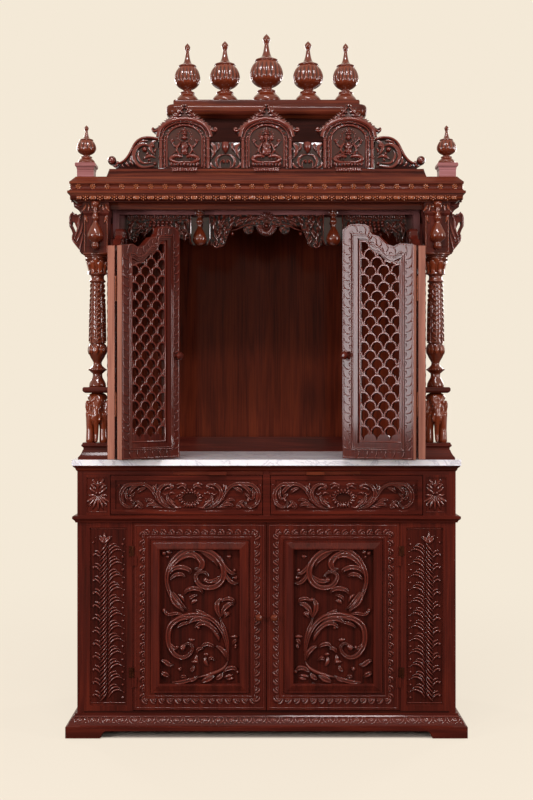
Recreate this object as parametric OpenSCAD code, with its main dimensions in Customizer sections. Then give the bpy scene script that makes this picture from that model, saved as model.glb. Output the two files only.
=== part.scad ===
// Pooja mandir: a carved wooden home shrine standing on a cabinet with drawers, trays and doors.
// Millimetres. X to the right, Y to the back, Z up; the origin is on the floor under the middle.

/* [Base cabinet] */
// Width of the cabinet body
body_w = 1155; // [1040:5:1300]
// Depth of the cabinet body
body_d = 578; // [480:2:690]
// Thickness of the cabinet's boards
board_t = 20; // [16:1:24]
// Height of the corner feet
foot_h = 22; // [18:1:27]
// Length of a corner foot along the front
foot_l = 127; // [100:1:155]
// Height of the plinth moulding
plinth_h = 48; // [38:1:58]
// How far the plinth flares out past the body
plinth_out = 32; // [26:1:39]
// Height of the door zone, from the plinth to the waist
door_zone_h = 581; // [470:1:700]
// Height of the waist moulding
waist_h = 22; // [18:1:26]
// How far the waist moulding stands out
waist_out = 14; // [11:1:17]
// Height of the drawer zone
drawer_zone_h = 123; // [100:1:148]
// Height of the slot band for the pull-out trays
tray_zone_h = 11; // [10:0.5:13]
// Height of the ogee under the marble
ogee_h = 18; // [15:1:21]
// Width of a fixed carved side panel
side_panel_w = 149; // [120:1:178]
// Width of a carved block beside a drawer
corner_block_w = 80; // [64:1:96]
// Thickness of the fixed carved panels and blocks
carved_t = 24; // [20:1:28]

/* [Marble top] */
// Thickness of the marble slab
marble_t = 18; // [15:1:22]
// Overhang of the marble past the body
marble_out = 15; // [12:1:18]

/* [Doors] */
// Gap round a closed door
door_gap = 2; // [1.5:0.5:2.5]
// Thickness of a door
door_t = 22; // [18:1:26]
// Width of the flat carved border of a door
door_border = 50; // [40:1:60]
// Width of the bevelled frame inside the border
bevel_w = 31; // [25:1:37]
// How far the bevelled frame stands out of the door
bevel_h = 6; // [5:0.5:7]
// Depth of the sunk field inside the bevelled frame
field_sink = 5; // [4:0.5:6]
// Diameter of a door hinge's barrel
door_barrel = 7; // [6:0.5:8]
// Diameter of a door hinge's pin
door_pin = 3.4; // [3:0.1:4]
// Height of a door hinge
door_hinge_h = 60; // [50:1:70]
// Distance of a door hinge from the end of its door
door_hinge_in = 70; // [56:1:84]
// Diameter of a door knob
knob_dia = 21; // [17:1:25]
// How far a door knob stands out of its door
knob_out = 27; // [22:1:32]
// Distance of a knob from the door's meeting edge
knob_in = 22; // [18:1:26]
// Height of the door knobs over the floor of the cabinet
knob_z = 286; // [230:1:340]

/* [Drawers and trays] */
// Width of the divider between the drawers
divider_w = 22; // [18:1:26]
// Reveal round a drawer front
drawer_gap = 2; // [1.5:0.5:2.5]
// Thickness of a drawer front
drawer_front_t = 20; // [16:1:24]
// Thickness of a drawer's sides, back and bottom
drawer_board = 12; // [10:1:14]
// Clearance of a drawer box beside its opening
drawer_side_gap = 6; // [5:0.5:7]
// Depth of a drawer box behind its front
drawer_d = 440; // [360:5:500]
// Space left over a drawer box, under the tray runners
drawer_head = 20; // [17:1:24]
// Depth that the carving of a drawer front is sunk
drawer_sink = 4; // [3:0.5:5]
// Width of a pull-out tray
tray_w = 276; // [230:1:320]
// Depth of a pull-out tray
tray_d = 420; // [340:5:480]
// Clearance over and under a tray
tray_gap = 0.5; // [0.4:0.1:0.6]
// Side clearance of a tray
tray_side_gap = 1; // [0.8:0.1:1.2]
// Distance of a tray from the cabinet's middle
tray_mid = 11; // [9:1:13]
// Length of a tray's tab handle
tab_l = 54; // [44:1:64]
// How far a tab handle stands out
tab_out = 16; // [13:1:19]
// Width of a tray runner
runner_w = 16; // [13:1:19]
// Height of a tray runner's ledge
ledge_h = 8; // [7:0.5:9]

/* [Shrine box] */
// Height from the marble to the cornice
shrine_h = 786; // [640:2:940]
// Clearance between an opened leaf and the pedestal beside it
leaf_clear = 2; // [1.5:0.5:2.5]
// Width of a frame post
post_w = 43; // [35:1:51]
// Thickness of a frame post
post_t = 34; // [32:1:40]
// Width of the rebate that the folding leaves close into
rebate_w = 24; // [20:1:28]
// Distance of the frame's front behind the marble's front edge
frame_d = 137; // [126:1:160]
// Thickness of the shrine's side and back walls
wall_t = 20; // [16:1:24]
// Height of the skirting inside
skirt_h = 50; // [40:1:60]
// Thickness of the skirting
skirt_t = 14; // [11:1:17]
// Height of the frame header over the carvings
header_h = 22; // [18:1:26]
// Side of a rear corner post
rear_post = 56; // [45:1:66]
// Height of the architrave between the column tops
architrave_h = 18; // [15:1:21]
// Thickness of the architrave
architrave_t = 22; // [18:1:26]

/* [Columns] */
// Distance of a column's axis from the marble's side edge
col_in = 71; // [58:1:72]
// Distance of a column's axis behind the marble's front edge
col_d = 60; // [58:1:68]
// Half width of the pedestal's base
ped_half = 53; // [46:1:56]
// Height of the ogee base of a pedestal
ped_base_h = 51; // [42:1:60]
// Height of the elephant on a pedestal
elephant_h = 152; // [125:1:180]
// Thickness of the square plate on the elephant
plate_h = 18; // [15:1:21]
// Half width of the square plate
plate_half = 41; // [34:1:48]
// Radius of the column's shaft
shaft_r = 22; // [18:1:26]
// Height of the bell and neck under the vase
bell_h = 77; // [64:1:90]
// Height of the vase bulb
vase_h = 60; // [50:1:70]
// Height of the carved block over the abacus
top_block_h = 154; // [126:1:184]
// Height of the capital
capital_h = 70; // [58:1:82]
// Height of the abacus on the capital
abacus_h = 12; // [10:1:14]
// Half width of the abacus and of the block over it
abacus_half = 40; // [34:1:46]
// Length of a turned drop on the front of a column top
drop_l = 148; // [120:1:155]
// Largest radius of a turned drop
drop_r = 24; // [20:1:28]
// Reach of a side bracket from the column top
bracket_out = 46; // [38:1:48]
// Thickness of a side bracket
bracket_t = 28; // [22:1:34]

/* [Frame carvings] */
// Distance of a pendant's middle from the shrine's middle
pendant_x = 209; // [180:1:235]
// Width of a pendant post
pendant_w = 66; // [54:1:78]
// Thickness of the carved boards
carving_t = 24; // [20:1:28]
// Length of a pendant below the header
pendant_l = 96; // [78:1:114]
// Length of a spandrel's ends below the header
spandrel_l = 92; // [74:1:110]
// Depth of a spandrel at the middle of its arch
spandrel_mid = 50; // [40:1:60]
// Length of the valance's legs below the header
valance_l = 100; // [80:1:120]
// Depth of the valance at its arches
valance_mid = 36; // [30:1:43]
// Radius of the half-round rosette in the middle of the valance
rosette_r = 34; // [28:1:40]

/* [Folding leaves] */
// Thickness of a leaf
leaf_t = 22; // [18:1:26]
// Gap between neighbouring leaves
leaf_gap = 3; // [2:0.5:4]
// Space under a leaf
leaf_foot = 5; // [4:0.5:6]
// Space from the top of a leaf's dome to the frame header
leaf_head = 52; // [42:1:62]
// Drop from the dome to the leaf's high edge
leaf_shoulder = 15; // [12:1:18]
// Drop from the dome to the leaf's edge at the fold
leaf_drop = 71; // [57:1:85]
// Width of a leaf's stile at its free edge
stile_w = 50; // [42:1:58]
// Width of a leaf's stile at the fold
fold_stile_w = 37; // [31:1:43]
// Height of a leaf's bottom rail
rail_h = 47; // [38:1:56]
// Height of a leaf's shaped top rail
bed_h = 43; // [36:1:50]
// Thickness of the fretwork
fret_t = 10; // [8:0.5:12]
// Sideways pitch of the fretwork
fret_pitch = 44; // [38:1:52]
// Width of a fretwork hole as a share of the pitch
fret_open = 0.74; // [0.64:0.02:0.8]
// Width of the curved webs between the holes
fret_web = 5; // [4:0.5:6]
// Solid edge all round the fretwork
fret_edge = 9; // [7:0.5:11]
// Angle that the outer leaves are opened past square
outer_past = 3; // [2:0.5:4]
// Angle of the left inner leaf to the front
left_angle = 46; // [38:1:54]
// Angle of the right inner leaf to the front
right_angle = 28; // [24:1:34]
// Diameter of a leaf hinge's barrel
leaf_barrel = 8; // [7:0.5:9]
// Height of a leaf hinge
leaf_hinge_h = 74; // [60:1:88]
// Diameter of a leaf knob
leaf_knob = 25; // [20:1:30]

/* [Cornice and pediment] */
// Height of the cornice
cornice_h = 77; // [64:1:92]
// How far the cornice's lip stands out past the marble's sides
cornice_out = 12; // [10:1:14]
// Thickness of the roof and ceiling boards
roof_t = 16; // [13:1:19]
// Width of the cornice's wall
cornice_wall = 70; // [58:1:84]
// Distance of the pediment's front behind the marble's front edge
pediment_d = 60; // [48:1:72]
// Height of the pediment's base board
pediment_base_h = 31; // [25:1:37]
// Half length of the pediment's base board
pediment_half = 490; // [470:1:520]
// Thickness of the pediment's boards
pediment_t = 24; // [20:1:28]
// Spacing of the arched panels
arch_pitch = 253; // [240:1:266]
// Half width of an arched panel's body
arch_half = 79; // [70:1:86]
// Height of an arched panel's body
arch_body_h = 123; // [100:1:146]
// Half width of an arched panel's hood
hood_half = 100; // [90:1:108]
// Rise of the hood over the body
hood_rise = 78; // [64:1:92]
// How far the hood stands out
hood_out = 14; // [11:1:17]
// Height of the acanthus infills
infill_h = 85; // [70:1:100]
// Height of an end scroll at its crest
scroll_h = 99; // [80:1:118]
// Radius of an end scroll's ball
scroll_ball = 21; // [17:1:24]

/* [Roof deck and finials] */
// Distance of the roof block's front behind the marble's front edge
block_d = 96; // [90:1:112]
// Half width of the lower roof block
block_half = 330; // [290:1:370]
// Height of the lower roof block
block_h = 122; // [100:1:146]
// Half width of the upper roof block
upper_half = 292; // [250:1:310]
// Height of the upper roof block
upper_h = 90; // [72:1:108]
// How far the upper block is set back
upper_back = 84; // [70:1:98]
// Height of the deck's moulding
deck_h = 42; // [34:1:50]
// How far the deck stands out past the upper block
deck_out = 27; // [22:1:32]
// Height of the slab that carries the finials
slab_h = 18; // [15:1:21]
// Total height of the middle finial
finial_h = 230; // [186:1:275]
// Largest radius of the middle finial
finial_r = 54; // [44:1:60]
// Side of a corner pedestal on the cornice
corner_side = 64; // [52:1:76]
// Height of a corner pedestal
corner_h = 48; // [40:1:57]
// Height of a corner finial
corner_finial_h = 114; // [92:1:136]
// Largest radius of a corner finial
corner_finial_r = 28; // [23:1:31]

/* [Hidden] */
eps = 0.01;
seat = 0.3;          // gap left where a moving or curved piece rests on its seat
rosewood = "#4a1712";
light_wood = "#7a2f1c";
inner_wood = "#32100c";
marble_white = "#f4f4f6";
brass_tone = "#b08d4c";

z_plinth = foot_h;
z_body = z_plinth + plinth_h;
z_waist = z_body + door_zone_h;
z_drawer = z_waist + waist_h;
z_tray = z_drawer + drawer_zone_h;
z_ogee = z_tray + tray_zone_h;
z_marble = z_ogee + ogee_h;
z_top = z_marble + marble_t;
z_cornice = z_top + shrine_h;
z_roof = z_cornice + cornice_h;
z_panels = z_roof + pediment_base_h;

marble_half = body_w / 2 + marble_out;
marble_d = body_d + marble_out;
barrel_r = leaf_barrel / 2;
col_x = marble_half - col_in;
// The frame is set out from the columns: an opened leaf just clears the pedestal
ped_past_jamb = frame_d - barrel_r - col_d + ped_half;
jamb_x = col_x - ped_half - leaf_clear + barrel_r * cos(outer_past) - ped_past_jamb * tan(outer_past);
opening_w = 2 * (jamb_x - rebate_w);
leaf_w = jamb_x / 2 - leaf_gap;
leaf_dome = shrine_h - header_h - leaf_foot - leaf_head;
leaf_high = leaf_dome - leaf_shoulder;
leaf_low = leaf_dome - leaf_drop;
leaf_reach = (leaf_w + leaf_gap) * cos(outer_past) + barrel_r + leaf_t - frame_d;
front_y = (leaf_reach - marble_d) / 2;     // the marble's front edge
body_y = front_y + marble_out;             // the cabinet's front
back_y = front_y + marble_d;
frame_y = front_y + frame_d;
col_y = front_y + col_d;

// Points of an arc round a centre
function arc(x, y, r, from, to, n = 6) =
    [for (i = [0:n]) let (a = from + (to - from) * i / n) [x + r * cos(a), y + r * sin(a)]];
// Points mirrored left to right, in reverse order
function flipped(pts) = [for (i = [len(pts) - 1:-1:0]) [-pts[i][0], pts[i][1]]];

// A copy on each side of the middle
module both_sides() {
    children();
    mirror([1, 0, 0]) children();
}

// A plate in the X-Z plane: its outline has x and z, and it reaches from y back by t
module upright(y, t) {
    translate([0, y + t, 0]) rotate([90, 0, 0]) linear_extrude(t) children();
}

// A mitred moulding round a block: each profile point is [how far it stands out, its height].
// The back stays flush.
module moulded(half, front, back, profile) {
    deep = back - front;
    reach = max([for (p = profile) p[0]]);
    n = len(profile);
    intersection() {
        upright(front - reach, deep + reach)
            polygon(concat([for (p = profile) [half + p[0], p[1]]],
                           flipped([for (p = profile) [half + p[0], p[1]]])));
        translate([-half - reach, 0, 0]) rotate([90, 0, 90]) linear_extrude(2 * (half + reach))
            polygon(concat([for (p = profile) [front - p[0], p[1]]],
                           [[back, profile[n - 1][1]], [back, profile[0][1]]]));
    }
}

// A square block with a mitred moulded edge on all four sides, about its own middle
module moulded_square(x, y, profile) {
    reach = max([for (p = profile) p[0]]);
    half = [for (p = profile) [p[0], p[1]]];
    intersection() {
        translate([x, y + reach, 0]) rotate([90, 0, 0]) linear_extrude(2 * reach)
            polygon(concat(half, flipped(half)));
        translate([x - reach, y, 0]) rotate([90, 0, 90]) linear_extrude(2 * reach)
            polygon(concat(half, flipped(half)));
    }
}

// A turned piece: each profile point is [radius, height]
module turned(x, y, z, profile) {
    n = len(profile);
    translate([x, y, z]) rotate_extrude($fn = 48)
        polygon(concat([[0, profile[0][1]]], profile, [[0, profile[n - 1][1]]]));
}

module box(x0, x1, y0, y1, z0, z1) {
    translate([x0, y0, z0]) cube([x1 - x0, y1 - y0, z1 - z0]);
}

// Bracket feet at the four corners, cut with an ogee at the inner ends
module corner_feet() {
    half = body_w / 2 + plinth_out;
    foot_w = 60;
    nose = foot_h * 0.8;
    outline = concat([[half, 0], [half, foot_h], [half - foot_l, foot_h]],
                     arc(half - foot_l, foot_h - nose, nose, 90, 0, 5),
                     [[half - foot_l + nose + 4, 0]]);
    color(rosewood) both_sides() for (y = [body_y - plinth_out, back_y - foot_w])
        upright(y, foot_w) polygon(outline);
}

// Plinth: a mitred frame with a flared carved band
module plinth() {
    profile = [[plinth_out, z_plinth], [plinth_out, z_plinth + plinth_h * 0.25],
               [plinth_out * 0.8, z_plinth + plinth_h * 0.32],
               [plinth_out * 0.62, z_plinth + plinth_h * 0.55],
               [plinth_out * 0.28, z_plinth + plinth_h * 0.78],
               [plinth_out * 0.2, z_plinth + plinth_h * 0.86], [plinth_out * 0.2, z_body]];
    rail = 40;
    color(rosewood) difference() {
        moulded(body_w / 2, body_y, back_y, profile);
        box(-body_w / 2 + rail, body_w / 2 - rail, body_y + rail, back_y - rail, z_plinth - 1, z_body + 1);
    }
}

// Floor board of the cabinet, rebated over the plinth's rails
floor_lip = 6;
module cabinet_floor() {
    rail = 40;
    color(inner_wood) union() {
        box(-body_w / 2 + board_t, body_w / 2 - board_t, body_y, back_y - board_t, z_body, z_body + floor_lip);
        box(-body_w / 2 + rail + seat, body_w / 2 - rail - seat, body_y + rail + seat, back_y - rail - seat,
            z_body + floor_lip - board_t, z_body + floor_lip);
    }
}

module cabinet_sides() {
    color(rosewood) both_sides()
        box(body_w / 2 - board_t, body_w / 2, body_y, back_y, z_body, z_ogee);
}

module cabinet_back() {
    color(inner_wood)
        box(-body_w / 2 + board_t, body_w / 2 - board_t, back_y - board_t, back_y, z_body, z_ogee);
}

// Board under the drawers, with the divider between them
module drawer_deck() {
    inner = body_w / 2 - board_t;
    color(inner_wood) union() {
        box(-inner, inner, body_y, back_y - board_t, z_waist, z_drawer);
        box(-divider_w / 2, divider_w / 2, body_y, back_y - board_t, z_drawer, z_tray);
    }
}

// Fixed blocks beside the drawers, with a sunk panel for their carving
module corner_blocks() {
    x0 = body_w / 2 - board_t - corner_block_w;
    margin = 8;
    color(rosewood) both_sides() difference() {
        box(x0, x0 + corner_block_w, body_y, body_y + carved_t, z_drawer, z_tray);
        box(x0 + margin, x0 + corner_block_w - margin, body_y - 1, body_y + drawer_sink,
            z_drawer + margin, z_tray - margin);
    }
}

// Fixed panels beside the doors, with a sunk field for their palm-leaf carving
module carved_side_panels() {
    x0 = body_w / 2 - board_t - side_panel_w;
    margin_x = 18;
    margin_z = 16;
    color(rosewood) both_sides() difference() {
        box(x0, x0 + side_panel_w, body_y, body_y + carved_t, z_body + floor_lip, z_waist);
        box(x0 + margin_x, x0 + side_panel_w - margin_x, body_y - 1, body_y + field_sink,
            z_body + floor_lip + margin_z, z_waist - margin_z);
    }
}

// Mitred waist moulding between the drawers and the doors
module waist_moulding() {
    profile = [[eps, z_waist], [waist_out * 0.35, z_waist], [waist_out * 0.5, z_waist + waist_h * 0.25],
               [waist_out * 0.85, z_waist + waist_h * 0.45], [waist_out, z_waist + waist_h * 0.55],
               [waist_out, z_waist + waist_h * 0.85], [waist_out * 0.6, z_drawer], [eps, z_drawer]];
    color(rosewood) difference() {
        moulded(body_w / 2, body_y, back_y, profile);
        box(-body_w / 2, body_w / 2, body_y, back_y + 1, z_waist - 1, z_drawer + 1);
    }
}

// Front strips and runners that carry the pull-out trays
tray_x0 = tray_mid;
tray_x1 = tray_mid + tray_w;
module tray_rails() {
    inner = body_w / 2 - board_t;
    back = back_y - board_t;
    strip = 22;
    outer = tray_x1 + tray_side_gap;
    color(inner_wood) {
        both_sides() union() {
            box(outer, inner, body_y, body_y + strip, z_tray, z_ogee);
            box(outer, outer + runner_w, body_y, back, z_tray, z_ogee);
            box(outer - runner_w, outer + runner_w, body_y + strip, back, z_tray - ledge_h, z_tray);
        }
        union() {
            box(-tray_x0 + tray_side_gap, tray_x0 - tray_side_gap, body_y, back, z_tray, z_ogee);
            box(-tray_x0 - runner_w, -divider_w / 2, body_y + strip, back, z_tray - ledge_h, z_tray);
            box(divider_w / 2, tray_x0 + runner_w, body_y + strip, back, z_tray - ledge_h, z_tray);
        }
    }
}

// Sub-top with the ogee edge that carries the marble
module top_moulding() {
    profile = [[0, z_ogee], [marble_out * 0.25, z_ogee + ogee_h * 0.2],
               [marble_out * 0.35, z_ogee + ogee_h * 0.5], [marble_out * 0.75, z_ogee + ogee_h * 0.8],
               [marble_out * 0.9, z_marble]];
    color(rosewood) moulded(body_w / 2, body_y, back_y, profile);
}

module marble_top() {
    color(marble_white) box(-marble_half, marble_half, front_y, back_y, z_marble, z_top);
}

// Back wall, standing on the marble inside the side walls
wall_out = opening_w / 2 + post_w;
module shrine_back() {
    color(inner_wood)
        box(-wall_out + wall_t, wall_out - wall_t, back_y - wall_t, back_y, z_top, z_cornice);
}

module shrine_sides() {
    color(inner_wood) both_sides()
        box(wall_out - wall_t, wall_out, frame_y + post_t, back_y, z_top, z_cornice);
}

// Low moulded skirting along the inside of the back and side walls
module skirting() {
    x1 = wall_out - wall_t;
    y1 = back_y - wall_t;
    color(rosewood) difference() {
        box(-x1, x1, frame_y + post_t, y1, z_top, z_top + skirt_h);
        box(-x1 + skirt_t, x1 - skirt_t, frame_y + post_t - 1, y1 - skirt_t, z_top - 1, z_top + skirt_h + 1);
    }
}

// Ceiling board inside the cornice
module ceiling() {
    half = marble_half + cornice_out - cornice_wall;
    color(inner_wood) box(-half, half, front_y + cornice_wall - cornice_out, back_y - wall_t,
                          z_cornice, z_cornice + roof_t);
}

// Plain posts at the rear corners, on square plinths like the front ones
module rear_posts() {
    cap = 10;
    x0 = wall_out + cap;
    x1 = x0 + rear_post;
    y0 = back_y - rear_post;
    color(rosewood) both_sides() union() {
        box(x0, x1, y0, back_y, z_top, z_cornice);
        for (z = [z_top, z_cornice - ped_base_h])
            box(x0, x1 + cap, y0 - cap, back_y, z, z + ped_base_h);
    }
}

// Pedestals: a moulded base, an elephant facing the front and a square plate
z_ele = z_top + ped_base_h;
z_plate = z_ele + elephant_h;
z_bell = z_plate + plate_h;
// An outline in Y and Z, cut out of a board that stands across X from x0 to x1
module sideways(x0, x1, points) {
    translate([x0, 0, 0]) rotate([90, 0, 90]) linear_extrude(x1 - x0) polygon(points);
}
module elephant(x, y) {
    r = plate_half * 0.93;
    h = elephant_h;
    function at_side(points) = [for (p = points) [y + p[0] * r, z_ele + p[1] * h]];
    function at_front(points) = [for (p = points) [x + p[0] * r, z_ele + p[1] * h]];
    body_side = at_side([[-0.52, 0], [-0.06, 0], [-0.04, 0.3], [0.1, 0.35], [0.3, 0.35], [0.42, 0.3],
                         [0.44, 0], [0.94, 0], [0.94, 0.34], [1, 0.52], [0.92, 0.66], [0.74, 0.77],
                         [0.7, 1], [-0.62, 1], [-0.66, 0.8], [-0.66, 0.4], [-0.54, 0.34]]);
    body_front = at_front([[-0.84, 0], [-0.2, 0], [-0.17, 0.3], [-0.1, 0.34], [0.1, 0.34], [0.17, 0.3],
                           [0.2, 0], [0.84, 0], [0.86, 0.34], [0.94, 0.5], [0.9, 0.66], [0.72, 0.78],
                           [0.7, 1], [-0.7, 1], [-0.72, 0.78], [-0.9, 0.66], [-0.94, 0.5], [-0.86, 0.34]]);
    head_front = at_front([[-0.2, 0.36], [0.2, 0.36], [0.4, 0.52], [0.54, 0.66], [0.5, 0.82], [0.3, 0.9],
                           [0.08, 0.87], [-0.08, 0.87], [-0.3, 0.9], [-0.5, 0.82], [-0.54, 0.66],
                           [-0.4, 0.52]]);
    head_side = at_side([[-0.5, 0.34], [-0.92, 0.36], [-1, 0.56], [-1, 0.72], [-0.88, 0.84], [-0.66, 0.9],
                         [-0.5, 0.9]]);
    trunk_side = at_side([[-0.72, 0], [-1, 0], [-1, 0.05], [-0.9, 0.12], [-0.94, 0.34], [-1.02, 0.56],
                          [-0.72, 0.6], [-0.66, 0.34], [-0.66, 0.12]]);
    ear_side = [[0.42, 0.86], [0.8, 0.83], [0.98, 0.7], [0.94, 0.5], [0.7, 0.36], [0.48, 0.5]];
    union() {
        intersection() {
            sideways(x - r, x + r, body_side);
            upright(y - r, 2 * r) polygon(body_front);
        }
        intersection() {
            sideways(x - r, x + r, head_side);
            upright(y - r, 2 * r) polygon(head_front);
        }
        sideways(x - r * 0.2, x + r * 0.2, trunk_side);
        for (s = [-1, 1])
            upright(y - r * 0.78, r * 0.2)
                polygon(at_front([for (p = ear_side) [s * p[0], p[1]]]));
    }
}
module elephant_pedestals() {
    base = [[ped_half, z_top], [ped_half, z_top + ped_base_h * 0.16],
            [ped_half * 0.9, z_top + ped_base_h * 0.28], [ped_half * 0.8, z_top + ped_base_h * 0.46],
            [ped_half * 0.72, z_top + ped_base_h * 0.56], [ped_half * 0.72, z_top + ped_base_h * 0.72],
            [ped_half * 0.82, z_top + ped_base_h * 0.84], [ped_half * 0.82, z_ele]];
    plate = [[plate_half * 0.8, z_plate], [plate_half, z_plate + plate_h * 0.35], [plate_half, z_bell]];
    color(light_wood) both_sides() union() {
        moulded_square(col_x, col_y, base);
        elephant(col_x, col_y);
        moulded_square(col_x, col_y, plate);
    }
}

// Turned columns: bell, ring, vase, leaf-carved shaft, necking and leaf capital under a square abacus
z_vase = z_bell + bell_h;
z_shaft = z_vase + vase_h;
z_block = z_cornice - top_block_h;
z_abacus = z_block - abacus_h;
z_capital = z_abacus - capital_h;
shaft_h = z_capital - z_shaft;
module columns() {
    r = shaft_r;
    bell = [[r * 1.45, 0], [r * 1.45, bell_h * 0.06], [r * 1.3, bell_h * 0.2], [r * 0.95, bell_h * 0.34],
            [r * 0.72, bell_h * 0.46], [r * 0.92, bell_h * 0.52], [r * 0.92, bell_h * 0.6],
            [r * 0.7, bell_h * 0.68], [r * 0.7, bell_h * 0.86], [r * 0.95, bell_h * 0.92],
            [r * 0.95, bell_h]];
    v = vase_h;
    vase = [[r * 0.75, v * 0.04], [r * 1.1, v * 0.2], [r * 1.3, v * 0.45], [r * 1.3, v * 0.62],
            [r * 1.12, v * 0.82], [r * 0.85, v * 0.92], [r * 1.1, v * 0.96], [r * 1.1, v]];
    s = shaft_h;
    shaft = [[r * 1.05, s * 0.01], [r, s * 0.2], [r * 0.96, s * 0.6], [r * 0.86, s * 0.97],
             [r * 1.05, s * 0.98], [r * 1.05, s]];
    c = capital_h;
    capital = [[r * 0.9, c * 0.04], [r * 0.9, c * 0.14], [r * 1.05, c * 0.18], [r * 1.05, c * 0.26],
               [r * 0.98, c * 0.3], [r * 1.2, c * 0.6], [r * 1.62, c * 0.94], [r * 1.62, c]];
    lift = function (pts, z) [for (p = pts) [p[0], p[1] + z]];
    color(rosewood) both_sides() union() {
        turned(col_x, col_y, z_bell, concat(bell, lift(vase, bell_h), lift(shaft, bell_h + vase_h),
                                            lift(capital, bell_h + vase_h + shaft_h)));
        moulded_square(col_x, col_y, [[abacus_half * 0.86, z_abacus], [abacus_half, z_abacus + abacus_h * 0.5],
                                      [abacus_half, z_block]]);
    }
}

// Square blocks over the capitals, each with a turned drop on a backing plate in front
module column_tops() {
    plate_w = drop_r + 6;
    k = drop_l;
    drop = [[drop_r * 0.3, 0], [drop_r * 0.75, k * 0.05], [drop_r * 0.98, k * 0.14], [drop_r, k * 0.24],
            [drop_r * 0.8, k * 0.38], [drop_r * 0.45, k * 0.56], [drop_r * 0.4, k * 0.66],
            [drop_r * 0.75, k * 0.74], [drop_r * 0.75, k * 0.8], [drop_r * 0.5, k * 0.86],
            [drop_r * 0.85, k * 0.94], [drop_r * 0.85, k]];
    face = col_y - abacus_half;
    color(rosewood) both_sides() union() {
        box(col_x - abacus_half, col_x + abacus_half, face, col_y + abacus_half, z_block, z_cornice);
        box(col_x - plate_w, col_x + plate_w, face - 6, face + 1, z_cornice - drop_l * 0.94, z_cornice);
        turned(col_x, face - 8, z_cornice - drop_l, drop);
    }
}

// Curling acanthus brackets on the outer sides of the column tops
module side_brackets() {
    x0 = col_x + abacus_half;
    h = z_cornice - z_block;
    w = bracket_out;
    // Fractions of the bracket's reach and drop: the hook at the top, the nose, the belly and the tail
    outline = [[0, 0], [0.68, 0], [0.66, 0.07], [0.5, 0.1], [0.32, 0.15], [0.2, 0.21], [0.16, 0.27], [0.3, 0.25],
               [0.5, 0.23], [0.66, 0.2], [0.78, 0.16], [0.86, 0.22], [0.96, 0.3], [1, 0.38], [0.97, 0.46],
               [0.84, 0.53], [0.76, 0.6], [0.78, 0.7], [0.68, 0.79], [0.48, 0.87], [0.3, 0.93], [0.2, 1], [0, 0.96]];
    eye = [[0.42, 0.54], [0.66, 0.37], [0.8, 0.36], [0.82, 0.42], [0.62, 0.55], [0.48, 0.6]];
    color(light_wood) both_sides() difference() {
        upright(col_y - bracket_t / 2, bracket_t)
            polygon([for (p = outline) [x0 + w * p[0], z_cornice - h * p[1]]]);
        upright(col_y - bracket_t, 2 * bracket_t) polygon([for (p = eye) [x0 + w * p[0], z_cornice - h * p[1]]]);
    }
}

// Rebated posts beside the opening
module frame_posts() {
    x0 = opening_w / 2;
    color(rosewood) both_sides() difference() {
        box(x0, x0 + post_w, frame_y, frame_y + post_t, z_top, z_cornice);
        box(x0 - 1, x0 + rebate_w, frame_y - 1, frame_y + leaf_t, z_top - 1, z_cornice - header_h);
    }
}

module frame_header() {
    color(rosewood) box(-opening_w / 2, opening_w / 2, frame_y, frame_y + post_t,
                        z_cornice - header_h, z_cornice);
}

// Scalloped carved spandrels between the frame posts and the pendants
z_carve = z_cornice - header_h;
carve_y = frame_y + (post_t - carving_t) / 2;
module spandrels() {
    x0 = pendant_x + pendant_w / 2 + seat;
    x1 = opening_w / 2 - seat;
    w = x1 - x0;
    n = 5;
    lobes = [for (i = [0:n - 1]) let (a = (i + 0.5) / n, drop = spandrel_mid
             + (spandrel_l - spandrel_mid) * pow(abs(2 * a - 1), 1.6)) [x0 + w * a, drop]];
    color(light_wood) both_sides() upright(carve_y, carving_t)
        polygon(concat([[x1, z_carve], [x0, z_carve], [x0, z_carve - spandrel_l]],
                       [for (c = lobes) each arc(c[0], z_carve - c[1] + w / n / 2, w / n / 2 * 0.92, 200, 340, 4)],
                       [[x1, z_carve - spandrel_l]]));
}

// Pendant posts under the header, each with a turned drop in front
module pendants() {
    k = pendant_l + header_h;
    r = pendant_w * 0.34;
    drop = [[r * 0.3, 0], [r * 0.8, k * 0.06], [r, k * 0.16], [r, k * 0.26], [r * 0.72, k * 0.42],
            [r * 0.4, k * 0.58], [r * 0.62, k * 0.66], [r * 0.4, k * 0.74], [r * 0.7, k * 0.88],
            [r * 0.7, k]];
    color(rosewood) both_sides() union() {
        box(pendant_x - pendant_w / 2, pendant_x + pendant_w / 2, carve_y, carve_y + carving_t,
            z_carve - pendant_l, z_carve);
        box(pendant_x - r, pendant_x + r, frame_y - 4, carve_y + 1, z_carve - pendant_l * 0.9, z_carve);
    }
    color(light_wood) both_sides()
        turned(pendant_x, frame_y - r - 4 - seat, z_carve - pendant_l, drop);
}

// Valance with acanthus legs, two small arches and a half-round rosette
module centre_valance() {
    x1 = pendant_x - pendant_w / 2 - seat;
    leg = x1 * 0.24;
    half = concat([[rosette_r, z_carve - valance_mid]],
                  arc(rosette_r + leg * 0.55, z_carve - valance_mid - 8, leg * 0.4, 150, 390, 6),
                  [[x1 - leg * 1.6, z_carve - valance_mid]],
                  arc(x1 - leg * 0.6, z_carve - valance_l + leg * 0.5, leg * 0.55, 180, 300, 5),
                  [[x1, z_carve - valance_l * 0.94], [x1, z_carve]]);
    color(light_wood) upright(carve_y, carving_t)
        polygon(concat(half, flipped(half),
                       arc(0, z_carve - valance_mid + 4, rosette_r, 186, 354, 10)));
}

// Plain fascia between the column tops
module architrave() {
    color(rosewood) box(-col_x + abacus_half, col_x - abacus_half, front_y + col_d - architrave_t / 2,
                        front_y + col_d + architrave_t / 2, z_cornice - architrave_h, z_cornice);
}

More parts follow.
